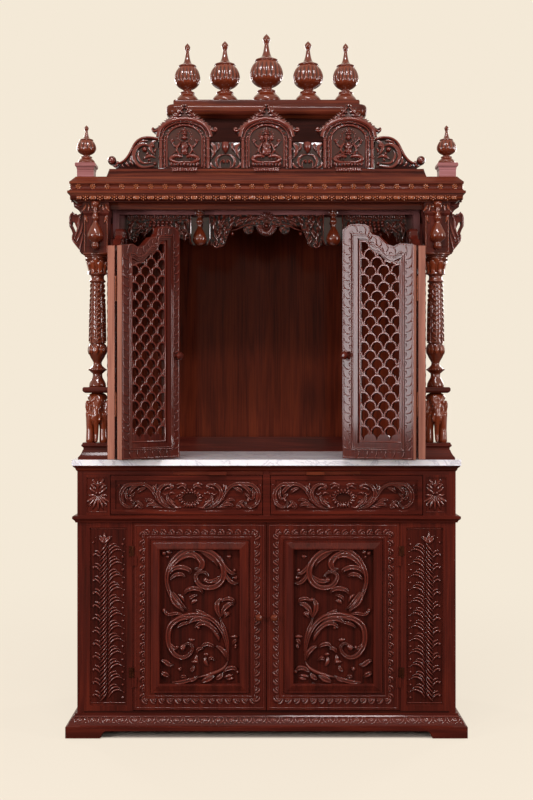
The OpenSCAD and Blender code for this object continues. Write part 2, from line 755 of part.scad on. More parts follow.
// One lattice leaf. Its width runs from the low edge at x = 0 to the high edge, its back is at y = 0,
// and its foot is at z = 0.
function leaf_top(drop = 0) = let (w = leaf_w, lo = leaf_low, hi = leaf_dome) [
    [0, lo - drop], [w * 0.18, lo + 6 - drop], [w * 0.27, lo - 2 - drop], [w * 0.37, lo + 5 - drop],
    [w * 0.44, lo + 20 - drop], [w * 0.49, lo + (hi - lo) * 0.44 - drop], [w * 0.57, lo + (hi - lo) * 0.5 - drop],
    [w * 0.61, lo + (hi - lo) * 0.65 - drop], [w * 0.62, lo + (hi - lo) * 0.86 - drop],
    [w * 0.67, hi - 3 - drop], [w * 0.78, hi - drop], [w * 0.9, hi - drop], [w, leaf_high - drop]];
// A fish-scale hole: a round head, and two hollow sides that follow the heads of the scales below
fret_rise = fret_pitch * 1.15;
head_r = fret_pitch * fret_open / 2;
web_r = head_r + fret_web;
head_up = fret_rise * 0.12;
side_from = acos((fret_pitch / 2 - head_r) / web_r);
side_to = acos(min(1, (fret_pitch / 2 - 1) / web_r));
function scale_hole(x, z) = let (below = z + head_up - fret_rise / 2) concat(
    arc(x, z + head_up, head_r, 0, 180, 6),
    arc(x - fret_pitch / 2, below, web_r, side_from, side_to, 3), [[x, below + web_r * sin(side_to) - 2]],
    arc(x + fret_pitch / 2, below, web_r, 180 - side_to, 180 - side_from, 3));
// Middles of the holes: rows half a pitch apart, each second row shifted
field_w = leaf_w - stile_w - fold_stile_w;
field_mid = fold_stile_w + field_w / 2;
fret_rows = ceil((leaf_dome - bed_h - rail_h) / (fret_rise / 2));
fret_n = ceil(field_w / fret_pitch / 2);
hole_at = [for (j = [0:fret_rows], i = [-fret_n - 1:fret_n])
    [field_mid + (i + 0.25 + (j % 2) / 2) * fret_pitch, rail_h + fret_edge + fret_rise * (0.36 + j / 2)]];
// The leaf's field, or the part of it that lies a margin inside
module field(margin, y, t) {
    intersection() {
        upright(y, t) polygon(concat([[0, rail_h + margin]], leaf_top(bed_h + margin), [[leaf_w, rail_h + margin]]));
        box(fold_stile_w + margin, leaf_w - stile_w - margin, y - 1, y + t + 1, 0, leaf_dome);
    }
}
module leaf() {
    holes = [for (c = hole_at) scale_hole(c[0], c[1])];
    per = len(holes[0]);
    paths = [for (k = [0:len(holes) - 1]) [for (m = [0:per - 1]) k * per + m]];
    difference() {
        upright(-leaf_t, leaf_t) polygon(concat([[0, 0]], leaf_top(), [[leaf_w, 0]]));
        field(0, -leaf_t - 1, 1 + leaf_t / 2 - fret_t / 2);
        field(0, fret_t / 2 - leaf_t / 2, 1 + leaf_t / 2 - fret_t / 2);
        intersection() {
            field(fret_edge, -leaf_t, leaf_t);
            upright(-leaf_t, leaf_t) polygon([for (h = holes) each h], paths);
        }
    }
}
// The outer leaf turns on a barrel in front of the frame post, the inner leaf on a barrel behind both leaves
leaf_pitch = leaf_w + leaf_gap;
fold_back = leaf_t + leaf_barrel;
jamb_y = frame_y - barrel_r;
fold_x = jamb_x + leaf_pitch * sin(outer_past) - fold_back * cos(outer_past);
fold_y = jamb_y - leaf_pitch * cos(outer_past) - fold_back * sin(outer_past);
z_leaf = z_top + leaf_foot;
// The right outer leaf: high at the frame post, low at the fold
module outer_leaf() {
    translate([jamb_x, jamb_y, z_leaf]) rotate([0, 0, 90 + outer_past])
        translate([-leaf_gap / 2 - leaf_w, barrel_r + leaf_t, 0]) leaf();
}
// The right inner leaf: low at the fold, high at its free edge
module at_fold(angle) {
    translate([fold_x, fold_y, z_leaf]) rotate([0, 0, -angle]) children();
}
module inner_leaf(angle) {
    at_fold(angle) translate([-leaf_gap / 2, -barrel_r, 0]) mirror([1, 0, 0]) leaf();
}
module leaf_left_outer() { color(rosewood) mirror([1, 0, 0]) outer_leaf(); }
module leaf_left_inner() { color(rosewood) mirror([1, 0, 0]) inner_leaf(left_angle); }
module leaf_right_outer() { color(rosewood) outer_leaf(); }
module leaf_right_inner() { color(rosewood) inner_leaf(right_angle); }

// Brass hinges at the posts and at the folds
hinge_z = [leaf_low * 0.2, leaf_low * 0.74];
module leaf_hinges() {
    color(brass_tone) both_sides() for (z = hinge_z) {
        translate([fold_x, fold_y, z_leaf + z]) cylinder(h = leaf_hinge_h, r = barrel_r - seat, $fn = 24);
        translate([jamb_x, jamb_y, z_leaf + z]) cylinder(h = leaf_hinge_h, r = barrel_r - seat, $fn = 24);
    }
}

// Turned knobs on the free stiles of the inner leaves
module leaf_knobs() {
    r = leaf_knob / 2;
    profile = [[r * 0.5, 0], [r * 0.4, r * 0.5], [r * 0.8, r * 0.9], [r, r * 1.4], [r * 0.75, r * 1.9],
               [r * 0.3, r * 2.1]];
    from_edge = 14;
    knob_height = leaf_low * 0.49;
    place = [-leaf_gap / 2 - leaf_w + from_edge, -barrel_r - leaf_t, knob_height];
    color(light_wood) {
        at_fold(right_angle) translate(place) rotate([90, 0, 0]) turned(0, 0, 0, profile);
        mirror([1, 0, 0]) at_fold(left_angle) translate(place) rotate([90, 0, 0]) turned(0, 0, 0, profile);
    }
}

// Mitred cornice: bead moulding, lip, hollow rosette band, fillet and a sloping top
module cornice() {
    c = cornice_h;
    o = cornice_out;
    profile = [[-o, z_cornice], [-o, z_cornice + c * 0.02], [-o * 0.3, z_cornice + c * 0.05],
               [o * 0.2, z_cornice + c * 0.13], [o * 0.45, z_cornice + c * 0.22], [o * 0.5, z_cornice + c * 0.3],
               [o, z_cornice + c * 0.31], [o, z_cornice + c * 0.4], [o * 0.6, z_cornice + c * 0.42],
               [o * 0.15, z_cornice + c * 0.5], [0, z_cornice + c * 0.58], [o * 0.1, z_cornice + c * 0.67],
               [o * 0.55, z_cornice + c * 0.69], [o * 0.55, z_cornice + c * 0.77],
               [o * 0.25, z_cornice + c * 0.81], [-o * 0.45, z_cornice + c * 0.92], [-o * 0.9, z_roof]];
    inner = marble_half + cornice_out - cornice_wall;
    color(rosewood) difference() {
        moulded(marble_half, front_y, back_y, profile);
        box(-inner, inner, front_y + cornice_wall - cornice_out, back_y - wall_t, z_cornice - 1, z_roof + 1);
    }
}

module roof_board() {
    inner = marble_half + cornice_out - cornice_wall;
    color(inner_wood) box(-inner, inner, front_y + cornice_wall - cornice_out, back_y - wall_t,
                          z_roof - roof_t, z_roof);
}

// Base board of the pediment
pediment_y = front_y + pediment_d;
module pediment_board() {
    lip = 5;
    color(rosewood) union() {
        upright(pediment_y, pediment_t)
            polygon([[-pediment_half - 7, z_roof], [pediment_half + 7, z_roof],
                     [pediment_half - lip, z_panels], [lip - pediment_half, z_panels]]);
        box(lip - pediment_half, pediment_half - lip, pediment_y - lip, pediment_y + 1, z_panels - 8, z_panels);
    }
}

// Three arched panels, each with a moulded ogee hood and a boss at its peak
function hood_line(half, rise, spring) = concat(
    [[half, spring - 10], [half, spring + 4]],
    [for (i = [1:9]) let (t = i / 10) [half * cos(t * 90), spring + 6 + (rise - 14) * sin(t * 90)
                                       + 8 * pow(t, 6)]],
    [[0, spring + rise]]);
module arch_outline(half, rise, spring, foot) {
    side = hood_line(half, rise, spring);
    polygon(concat(foot, side, flipped([for (i = [0:len(side) - 2]) side[i]]), flipped(foot)));
}
module pediment_panels() {
    spring = z_panels + arch_body_h;
    inset = 20;
    color(rosewood) for (i = [-1:1]) translate([i * arch_pitch, 0, 0]) union() {
        upright(pediment_y, pediment_t)
            arch_outline(hood_half - 4, hood_rise - 4, spring,
                         [[arch_half, z_panels], [arch_half, spring - 14]]);
        difference() {
            upright(pediment_y - hood_out, hood_out + 1)
                arch_outline(hood_half, hood_rise, spring, [[hood_half - 2, spring - 12]]);
            upright(pediment_y - hood_out - 1, hood_out + 1)
                arch_outline(hood_half - inset, hood_rise - inset, spring,
                             [[hood_half - inset, spring - 20]]);
        }
        for (sx = [-1, 1])
            box(sx > 0 ? arch_half - 12 : -arch_half, sx > 0 ? arch_half : -arch_half + 12,
                pediment_y - hood_out * 0.6, pediment_y + 1, z_panels, spring - 11);
        translate([0, pediment_y + 1, spring + hood_rise - 22]) rotate([90, 0, 0])
            cylinder(h = hood_out + 7, r = 9, $fn = 32);
    }
}

// Low acanthus boards between the arched panels
module pediment_infills() {
    gap = arch_pitch - 2 * arch_half;
    x0 = arch_half + seat;
    w = gap - 2 * seat;
    color(light_wood) both_sides() upright(pediment_y + 2, pediment_t - 6)
        polygon(concat([[x0, z_panels], [x0 + w, z_panels], [x0 + w, z_panels + infill_h * 0.8]],
                       arc(x0 + w * 0.75, z_panels + infill_h * 0.75, w * 0.24, 20, 160, 5),
                       arc(x0 + w * 0.25, z_panels + infill_h * 0.75, w * 0.24, 20, 160, 5),
                       [[x0, z_panels + infill_h * 0.8]]));
}

// Sweeping end scrolls that run down to a ball
module end_scrolls() {
    x0 = arch_pitch + arch_half + seat;
    x1 = pediment_half - scroll_ball;
    w = x1 - x0;
    crest = [for (i = [0:12]) let (t = i / 12) [x0 + w * (0.22 + 0.78 * t),
             z_panels + scroll_ball * 1.1 + (scroll_h - scroll_ball * 1.1) * pow(cos(t * 90), 1.5)]];
    color(light_wood) both_sides() union() {
        difference() {
            upright(pediment_y, pediment_t)
                polygon(concat([[x0, z_panels], [x0, z_panels + scroll_h * 0.82]], crest, [[x1, z_panels]]));
            translate([x0 + w * 0.32, pediment_y - 1, z_panels + scroll_h * 0.42]) rotate([-90, 0, 0])
                cylinder(h = pediment_t + 2, r = scroll_h * 0.1, $fn = 24);
        }
        translate([x1, pediment_y - 3, z_panels + scroll_ball]) rotate([-90, 0, 0])
            cylinder(h = pediment_t + 6, r = scroll_ball, $fn = 32);
    }
}

// Stepped block on the roof behind the pediment
block_y = front_y + block_d;
upper_y = block_y + upper_back;
z_step = z_roof + block_h;
z_deck = z_step + upper_h;
z_slab = z_deck + deck_h;
z_finial = z_slab + slab_h;
block_depth = 330;
upper_depth = 200;
module roof_block() {
    wall = 18;
    ledge = 8;
    color(inner_wood) difference() {
        union() {
            box(-block_half, block_half, block_y, block_y + block_depth, z_roof, z_step);
            box(-block_half - ledge, block_half + ledge, block_y - ledge, block_y + block_depth + ledge,
                z_step - 10, z_step);
            box(-upper_half, upper_half, upper_y, upper_y + upper_depth, z_step - 1, z_deck);
        }
        box(-block_half + wall, block_half - wall, block_y + wall, block_y + block_depth - wall,
            z_roof - 1, z_step - wall);
        box(-upper_half + wall, upper_half - wall, upper_y + wall, upper_y + upper_depth - wall,
            z_step - wall - 1, z_deck + 1);
    }
}

// Moulded deck with the thin slab that carries the finials
module roof_deck() {
    d = deck_h;
    o = deck_out;
    under = [[0, z_deck], [o * 0.3, z_deck], [o * 0.45, z_deck + d * 0.3], [o * 0.9, z_deck + d * 0.5],
             [o, z_deck + d * 0.55], [o, z_deck + d * 0.9], [o * 0.9, z_slab], [o * 0.2, z_slab],
             [0, z_slab + slab_h * 0.3], [0, z_finial]];
    mid = upper_y + upper_depth / 2;
    color(rosewood) union() {
        moulded(upper_half, upper_y, mid, under);
        translate([0, 2 * mid, 0]) mirror([0, 1, 0]) moulded(upper_half, upper_y, mid, under);
    }
}

// A turned finial: bell foot, neck, gadrooned ball and spire
module finial(x, y, z, h, r) {
    turned(x, y, z, [[r * 0.78, 0], [r * 0.78, h * 0.075], [r * 0.63, h * 0.115], [r * 0.48, h * 0.15],
                     [r * 0.34, h * 0.188], [r * 0.4, h * 0.225], [r * 0.66, h * 0.262], [r * 0.88, h * 0.318],
                     [r * 0.97, h * 0.36], [r, h * 0.41], [r * 0.98, h * 0.455], [r * 0.92, h * 0.5],
                     [r * 0.8, h * 0.558], [r * 0.57, h * 0.612], [r * 0.5, h * 0.635], [r * 0.3, h * 0.652],
                     [r * 0.17, h * 0.718], [r * 0.115, h * 0.81], [r * 0.13, h * 0.835], [r * 0.21, h * 0.9],
                     [r * 0.15, h * 0.95], [r * 0.02, h]]);
}
module deck_finials() {
    y = upper_y + upper_depth / 2 - 40;
    sizes = [1, 0.91, 0.83];
    radii = [1, 0.9, 0.77];
    places = [0, 135, 254];
    color(rosewood) {
        finial(0, y, z_finial, finial_h, finial_r);
        both_sides() for (i = [1, 2])
            finial(upper_half * places[i] / 292, y, z_finial, finial_h * sizes[i], finial_r * radii[i]);
    }
}

// Capped corner pedestals on the cornice, each with a small finial
module corner_finials() {
    half = corner_side / 2;
    body = half * 0.84;
    x = marble_half - cornice_out * 0.9 - body - 2;
    y = front_y + cornice_out * 0.9 + body + 2;
    profile = [[body, z_roof], [body, z_roof + corner_h * 0.55], [half * 0.92, z_roof + corner_h * 0.68],
               [half, z_roof + corner_h * 0.8], [half, z_roof + corner_h * 0.94],
               [half * 0.94, z_roof + corner_h]];
    color(rosewood) both_sides() union() {
        moulded_square(x, y, profile);
        finial(x, y, z_roof + corner_h - eps, corner_finial_h, corner_finial_r);
    }
}

// Doors: a carved border, a bevelled frame and a sunk field. The right door is drawn.
door_x0 = door_gap / 2;
door_x1 = body_w / 2 - board_t - side_panel_w - door_gap;
door_z0 = z_body + floor_lip + door_gap;
door_z1 = z_waist - door_gap;
barrel_y = body_y - door_barrel / 2 - seat;
barrel_x = door_x1 + door_gap / 2;
door_hinge_z = [door_z0 + door_hinge_in, door_z1 - door_hinge_in - door_hinge_h];
module door() {
    x0 = door_x0 + door_border;
    x1 = door_x1 - door_border;
    z0 = door_z0 + door_border;
    z1 = door_z1 - door_border;
    groove = 4;
    leaf_plate = 2.4;
    union() {
        difference() {
            box(door_x0, door_x1, body_y, body_y + door_t, door_z0, door_z1);
            box(x0 + groove, x1 - groove, body_y - 1, body_y + field_sink, z0 + groove, z1 - groove);
            difference() {
                box(x0, x1, body_y - 1, body_y + 3, z0, z1);
                box(x0 + groove, x1 - groove, body_y - 2, body_y + 4, z0 + groove, z1 - groove);
            }
        }
        difference() {
            box(x0 + groove, x1 - groove, body_y - bevel_h, body_y + field_sink, z0 + groove, z1 - groove);
            intersection() {
                translate([0, body_y, 0]) linear_extrude(z1 + 100)
                    polygon([[x0 + bevel_w, field_sink + 1], [x0 + bevel_w, field_sink],
                             [x0 + bevel_w * 0.4, -bevel_h], [x0 + bevel_w * 0.4, -bevel_h - 1],
                             [x1 - bevel_w * 0.4, -bevel_h - 1], [x1 - bevel_w * 0.4, -bevel_h],
                             [x1 - bevel_w, field_sink], [x1 - bevel_w, field_sink + 1]]);
                translate([0, body_y, 0]) rotate([90, 0, 90]) linear_extrude(x1 + 100)
                    polygon([[field_sink + 1, z0 + bevel_w], [field_sink, z0 + bevel_w],
                             [-bevel_h, z0 + bevel_w * 0.4], [-bevel_h - 1, z0 + bevel_w * 0.4],
                             [-bevel_h - 1, z1 - bevel_w * 0.4], [-bevel_h, z1 - bevel_w * 0.4],
                             [field_sink, z1 - bevel_w], [field_sink + 1, z1 - bevel_w]]);
            }
        }
        for (z = door_hinge_z) difference() {
            union() {
                translate([barrel_x, barrel_y, z]) cylinder(h = door_hinge_h / 2 - seat, d = door_barrel, $fn = 24);
                box(barrel_x - 12, barrel_x, barrel_y, barrel_y + leaf_plate, z, z + door_hinge_h / 2 - seat);
                box(barrel_x - 12, barrel_x - door_gap / 2 - 1, barrel_y, body_y + 1, z, z + door_hinge_h / 2 - seat);
            }
            translate([barrel_x, barrel_y, z - 1]) cylinder(h = door_hinge_h, d = door_pin + 0.1, $fn = 24);
        }
    }
}
module door_left() { color(rosewood) mirror([1, 0, 0]) door(); }
module door_right() { color(rosewood) door(); }

// Fixed halves of the door hinges, with their pins
module door_hinge_pins() {
    leaf_plate = 2.4;
    color(brass_tone) both_sides() for (z = door_hinge_z) union() {
        translate([barrel_x, barrel_y, z]) cylinder(h = door_hinge_h, d = door_pin, $fn = 24);
        translate([barrel_x, barrel_y, z + door_hinge_h / 2])
            cylinder(h = door_hinge_h / 2, d = door_barrel, $fn = 24);
        box(barrel_x, barrel_x + 12, barrel_y, barrel_y + leaf_plate, z + door_hinge_h / 2, z + door_hinge_h);
        box(barrel_x + door_gap / 2, barrel_x + 12, barrel_y, body_y, z + door_hinge_h / 2, z + door_hinge_h);
    }
}

module door_knob() {
    r = knob_dia / 2;
    profile = [[r * 0.55, 0], [r * 0.55, knob_out * 0.1], [r * 0.4, knob_out * 0.3], [r * 0.75, knob_out * 0.48],
               [r, knob_out * 0.66], [r * 0.85, knob_out * 0.86], [r * 0.4, knob_out]];
    translate([door_x0 + knob_in, body_y, z_body + floor_lip + knob_z]) rotate([90, 0, 0]) turned(0, 0, 0, profile);
}
module door_left_knob() { color(light_wood) mirror([1, 0, 0]) door_knob(); }
module door_right_knob() { color(light_wood) door_knob(); }

// Drawers: a front with a sunk carved field and an open box behind it. The right drawer is drawn.
open_x0 = divider_w / 2;
open_x1 = body_w / 2 - board_t - corner_block_w;
module drawer_front() {
    x0 = open_x0 + drawer_gap;
    x1 = open_x1 - drawer_gap;
    z0 = z_drawer + drawer_gap;
    z1 = z_tray - drawer_gap;
    margin = 14;
    color(rosewood) difference() {
        box(x0, x1, body_y, body_y + drawer_front_t, z0, z1);
        box(x0 + margin, x1 - margin, body_y - 1, body_y + drawer_sink, z0 + margin, z1 - margin);
    }
}
module drawer_box() {
    x0 = open_x0 + drawer_side_gap;
    x1 = open_x1 - drawer_side_gap;
    y0 = body_y + drawer_front_t;
    y1 = y0 + drawer_d;
    z0 = z_drawer + seat;
    z1 = z_tray - drawer_head;
    b = drawer_board;
    color(inner_wood) difference() {
        box(x0, x1, y0, y1, z0, z1);
        box(x0 + b, x1 - b, y0 - 1, y1 - b, z0 + b, z1 + 1);
    }
}
module drawer_left_front() { mirror([1, 0, 0]) drawer_front(); }
module drawer_left_box() { mirror([1, 0, 0]) drawer_box(); }
module drawer_right_front() { drawer_front(); }
module drawer_right_box() { drawer_box(); }

// Pull-out trays: a thin board with a tab handle. The right tray is drawn.
module tray() {
    z0 = z_tray + tray_gap;
    z1 = z_ogee - tray_gap;
    mid = (tray_x0 + tray_x1) / 2;
    color(light_wood) union() {
        box(tray_x0, tray_x1, body_y, body_y + tray_d, z0, z1);
        box(mid - tab_l / 2, mid + tab_l / 2, body_y - tab_out, body_y + 1, z0, z1);
    }
}
module tray_left() { mirror([1, 0, 0]) tray(); }
module tray_right() { tray(); }

corner_feet();
plinth();
cabinet_floor();
cabinet_sides();
cabinet_back();
drawer_deck();
corner_blocks();
carved_side_panels();
waist_moulding();
tray_rails();
top_moulding();
marble_top();
shrine_back();
shrine_sides();
skirting();
ceiling();
rear_posts();
elephant_pedestals();
columns();
column_tops();
side_brackets();
frame_posts();
frame_header();
spandrels();
pendants();
centre_valance();
architrave();
leaf_left_outer();
leaf_left_inner();
leaf_right_outer();
leaf_right_inner();
leaf_hinges();
leaf_knobs();
cornice();
roof_board();
pediment_board();
pediment_panels();
pediment_infills();
end_scrolls();
roof_block();
roof_deck();
deck_finials();
corner_finials();
door_hinge_pins();
door_left();
door_left_knob();
door_right();
door_right_knob();
drawer_left_front();
drawer_left_box();
drawer_right_front();
drawer_right_box();
tray_left();
tray_right();
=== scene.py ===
"""Pooja mandir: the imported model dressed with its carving, polished rosewood, marble and brass."""
import math

import bmesh
import bpy
from mathutils import Matrix, Vector


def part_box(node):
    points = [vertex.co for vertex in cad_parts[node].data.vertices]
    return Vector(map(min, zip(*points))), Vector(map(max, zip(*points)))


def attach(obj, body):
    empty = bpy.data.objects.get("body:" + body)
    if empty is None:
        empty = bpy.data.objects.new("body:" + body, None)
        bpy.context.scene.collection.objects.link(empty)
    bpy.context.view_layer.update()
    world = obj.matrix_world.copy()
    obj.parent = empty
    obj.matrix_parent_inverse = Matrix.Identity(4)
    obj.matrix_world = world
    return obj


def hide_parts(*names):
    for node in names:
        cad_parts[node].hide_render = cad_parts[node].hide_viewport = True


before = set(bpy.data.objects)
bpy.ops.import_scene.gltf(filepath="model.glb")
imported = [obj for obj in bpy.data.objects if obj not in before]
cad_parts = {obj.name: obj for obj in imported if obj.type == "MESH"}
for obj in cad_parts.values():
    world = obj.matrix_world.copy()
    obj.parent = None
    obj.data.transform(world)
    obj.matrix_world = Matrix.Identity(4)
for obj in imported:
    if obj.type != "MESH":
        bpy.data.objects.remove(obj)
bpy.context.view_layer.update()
MM = 0.001


# ---- Studio ----------------------------------------------------------------
# A pale floor under an even cream surround, with soft boxes to both sides and overhead.
# The camera stands 3.95 m in front of the marble's front edge, at the height of the shrine's floor.
def srgb(code):
    """A hex colour turned to linear red, green, blue and alpha."""
    parts = [int(code[i:i + 2], 16) / 255 for i in (1, 3, 5)]
    return [c / 12.92 if c <= 0.04045 else ((c + 0.055) / 1.055) ** 2.4 for c in parts] + [1.0]


def add_node(tree, kind, inputs=None, **settings):
    """Adds a shader node; each input is given a value, or the output socket that feeds it."""
    node = tree.nodes.new(kind)
    for name, value in settings.items():
        setattr(node, name, value)
    for name, value in (inputs or {}).items():
        if isinstance(value, bpy.types.NodeSocket):
            tree.links.new(value, node.inputs[name])
        else:
            node.inputs[name].default_value = value
    return node


CREAM = srgb("#f4e9d7")
scene = bpy.context.scene
scene.view_settings.view_transform = "Standard"

world = bpy.data.worlds.new("cream surround")
scene.world = world
world.use_nodes = True
tree = world.node_tree
tree.nodes.clear()
path = add_node(tree, "ShaderNodeLightPath")
seen = add_node(tree, "ShaderNodeMath", {0: path.outputs["Is Camera Ray"],
                                         1: path.outputs["Is Transmission Ray"]},
                operation="MAXIMUM")
seen = add_node(tree, "ShaderNodeMath", {0: seen.outputs[0], 1: path.outputs["Is Glossy Ray"]},
                operation="MAXIMUM")
fill = add_node(tree, "ShaderNodeBackground", {"Color": srgb("#fff6ee"), "Strength": 0.15})
shown = add_node(tree, "ShaderNodeBackground", {"Color": CREAM, "Strength": 1.0})
surround = add_node(tree, "ShaderNodeMixShader", {0: seen.outputs[0], 1: fill.outputs[0], 2: shown.outputs[0]})
add_node(tree, "ShaderNodeOutputWorld", {"Surface": surround.outputs[0]})

floor_finish = bpy.data.materials.new("matt cream studio floor")
floor_finish.use_nodes = True
tree = floor_finish.node_tree
tree.nodes.clear()
path = add_node(tree, "ShaderNodeLightPath")
coords = add_node(tree, "ShaderNodeTexCoord")
away = add_node(tree, "ShaderNodeVectorMath", {0: coords.outputs["Object"]}, operation="LENGTH")
shadow_share = add_node(tree, "ShaderNodeMapRange", {"Value": away.outputs["Value"], "From Min": 1.0,
                                                     "From Max": 3.0, "To Min": 0.86, "To Max": 1.0})
seen_matt = add_node(tree, "ShaderNodeBsdfDiffuse", {"Color": CREAM})
# rays from the object meet a darker floor, so that its bounce stays off the doors
bounced = add_node(tree, "ShaderNodeBsdfDiffuse", {"Color": srgb("#776f66")})
matt = add_node(tree, "ShaderNodeMixShader", {0: path.outputs["Is Camera Ray"], 1: bounced.outputs[0],
                                              2: seen_matt.outputs[0]})
lit = add_node(tree, "ShaderNodeEmission", {"Color": CREAM, "Strength": 1.0})
# No light reaches the floor under the cabinet: there its place, in units of half the footprint, is below 1.
footprint = add_node(tree, "ShaderNodeVectorMath", {0: coords.outputs["Object"], 1: (1.72, 3.3, 0),
                                                    2: (0, -0.2, 0)}, operation="MULTIPLY_ADD")
both_ways = add_node(tree, "ShaderNodeVectorMath", {0: footprint.outputs[0]}, operation="ABSOLUTE")
under = add_node(tree, "ShaderNodeSeparateXYZ", {0: both_ways.outputs[0]})
edge = add_node(tree, "ShaderNodeMath", {0: under.outputs["X"], 1: under.outputs["Y"]}, operation="MAXIMUM")
outside = add_node(tree, "ShaderNodeMapRange", {"Value": edge.outputs[0], "From Min": 0.94, "From Max": 1.04})
share = add_node(tree, "ShaderNodeMath", {0: outside.outputs[0], 1: shadow_share.outputs[0]},
                 operation="MULTIPLY")
part = add_node(tree, "ShaderNodeMath", {0: path.outputs["Is Camera Ray"], 1: share.outputs[0]},
                operation="MULTIPLY")
mixed = add_node(tree, "ShaderNodeMixShader", {0: part.outputs[0], 1: matt.outputs[0], 2: lit.outputs[0]})
add_node(tree, "ShaderNodeOutputMaterial", {"Surface": mixed.outputs[0]})

bm = bmesh.new()
bmesh.ops.create_circle(bm, cap_ends=True, segments=96, radius=16.0)
mesh = bpy.data.meshes.new("studio_floor")
bm.to_mesh(mesh)
bm.free()
mesh.materials.append(floor_finish)
floor = bpy.data.objects.new("studio_floor", mesh)
scene.collection.objects.link(floor)
floor.location.z = -0.002

soft_boxes = [  # name, place, aimed at, width, height, watts
    ("left_box", (-2.9, -2.85, 1.5), (0.3, -0.2, 1.2), 0.62, 1.35, 72),
    ("right_box", (3.0, -1.5, 1.7), (0, -0.1, 1.1), 0.4, 1.3, 44),
    ("overhead_box", (-0.5, -2.5, 4.3), (0, -0.1, 1.3), 1.2, 0.4, 76),
    ("front_high_box", (0.5, -3.2, 3.9), (0, 0.1, 1.0), 0.8, 0.35, 44),
    ("front_left_box", (-1.9, -4.2, 1.3), (0, -0.2, 0.9), 0.4, 0.7, 14),
    ("front_right_box", (1.8, -4.2, 1.5), (0, -0.2, 0.9), 0.4, 0.7, 26),
    ("rear_left_box", (-2.4, 3.2, 2.6), (0, 0, 1.1), 0.7, 1.4, 56),
    ("rear_right_box", (2.6, 3.0, 2.2), (0, 0, 1.1), 0.7, 1.4, 50),
]
for name, place, aim, wide, high, watts in soft_boxes:
    light = bpy.data.lights.new(name, "AREA")
    light.shape = "RECTANGLE"
    light.size, light.size_y = wide, high
    light.energy = watts
    light.color = srgb("#fdf6f8")[:3]
    box = bpy.data.objects.new(name, light)
    scene.collection.objects.link(box)
    box.location = place
    box.rotation_euler = (Vector(aim) - Vector(place)).to_track_quat("-Z", "Y").to_euler()

IMAGE_HIGH = 800
FOCAL_PIXELS = 1299                  # focal length in pixels of the 533 x 800 image
camera = bpy.data.objects.new("camera", bpy.data.cameras.new("camera"))
camera.data.sensor_width = 36.0
camera.data.lens = 36.0 * FOCAL_PIXELS / IMAGE_HIGH
camera.data.shift_y = -8 / IMAGE_HIGH    # eye level is 8 pixels above the image's middle
camera.location = (0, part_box("marble_top")[0].y - 3.95, 1.049)
camera.rotation_euler = (math.radians(90), 0, 0)
scene.collection.objects.link(camera)
scene.camera = camera


# ---- Boards ----------------------------------------------------------------
# Sheesham, stained dark rosewood and polished with melamine: a deep red-brown with long darker
# streaks, under a thin clear coat that takes sharp highlights. The grain follows each board.
def new_finish(name):
    """A new material, with its node tree, its surface shader and its Object coordinates."""
    finish = bpy.data.materials.new(name)
    finish.use_nodes = True
    tree = finish.node_tree
    return finish, tree, tree.nodes["Principled BSDF"], add_node(tree, "ShaderNodeTexCoord").outputs["Object"]


def ramp_of(tree, share, *stops):
    """A colour ramp from (position, hex colour) stops, the first and last of them at its ends."""
    tone = add_node(tree, "ShaderNodeValToRGB", {"Fac": share})
    ramp = tone.color_ramp.elements
    ramp[0].position, ramp[0].color = stops[0][0], srgb(stops[0][1])
    ramp[1].position, ramp[1].color = stops[-1][0], srgb(stops[-1][1])
    for position, code in stops[1:-1]:
        ramp.new(position).color = srgb(code)
    return tone.outputs["Color"]


def set_surface(surface, colour, values):
    """Links a surface's colour and sets its plain numbers."""
    surface.id_data.links.new(colour, surface.inputs["Base Color"])
    for name, value in values.items():
        surface.inputs[name].default_value = value


def polished_wood(name, dark, mid, lively, along, rough=0.45, coat=0.3):
    """Stained and polished wood; along is the grain's axis: x, y or z."""
    finish, tree, surface, coords = new_finish(name)
    streak = [5 if axis == along else 220 for axis in "xyz"]   # a streak is 4 to 5 mm wide, 200 mm long
    stretched = add_node(tree, "ShaderNodeMapping", {"Vector": coords, "Scale": streak})
    fine = add_node(tree, "ShaderNodeTexNoise", {"Vector": stretched.outputs[0], "Scale": 1.0, "Detail": 5.0,
                                                 "Roughness": 0.6, "Distortion": 0.4})
    figure = [2.2 if axis == along else 26 for axis in "xyz"]  # broad bands, 40 mm across
    wide = add_node(tree, "ShaderNodeMapping", {"Vector": coords, "Scale": figure})
    bands = add_node(tree, "ShaderNodeTexNoise", {"Vector": wide.outputs[0], "Scale": 1.0, "Detail": 3.0,
                                                  "Distortion": 1.2})
    grains = add_node(tree, "ShaderNodeMath", {0: fine.outputs["Fac"], 1: bands.outputs["Fac"]},
                      operation="ADD")
    blend = add_node(tree, "ShaderNodeMapRange", {"Value": grains.outputs[0], "From Min": 0.6, "From Max": 1.4})
    tone = ramp_of(tree, blend.outputs[0], (0.12, dark), (0.5, mid), (0.92, lively))
    pores = add_node(tree, "ShaderNodeBump", {"Height": fine.outputs["Fac"], "Strength": 0.12,
                                              "Distance": 0.0004})
    worn = add_node(tree, "ShaderNodeMapRange", {"Value": bands.outputs["Fac"], "To Min": rough - 0.06,
                                                 "To Max": rough + 0.08})
    tree.links.new(pores.outputs[0], surface.inputs["Normal"])
    tree.links.new(worn.outputs[0], surface.inputs["Roughness"])
    set_surface(surface, tone, {"IOR": 1.5, "Specular IOR Level": 0.05, "Coat Weight": coat,
                                "Coat Roughness": 0.09, "Coat IOR": 1.45})
    return finish


rosewood = {axis: polished_wood(f"polished rosewood, grain along {axis}", "#341009", "#47160e", "#5c2013", axis)
            for axis in "xyz"}
# a darker copy of the rosewood for the inner and hidden boards: painted shade where they lie in shadow
inner = {axis: polished_wood(f"satin dark rosewood, grain along {axis}", "#1e0906", "#2e0f09", "#3b160d", axis,
                             rough=0.5, coat=0.05) for axis in "xyz"}


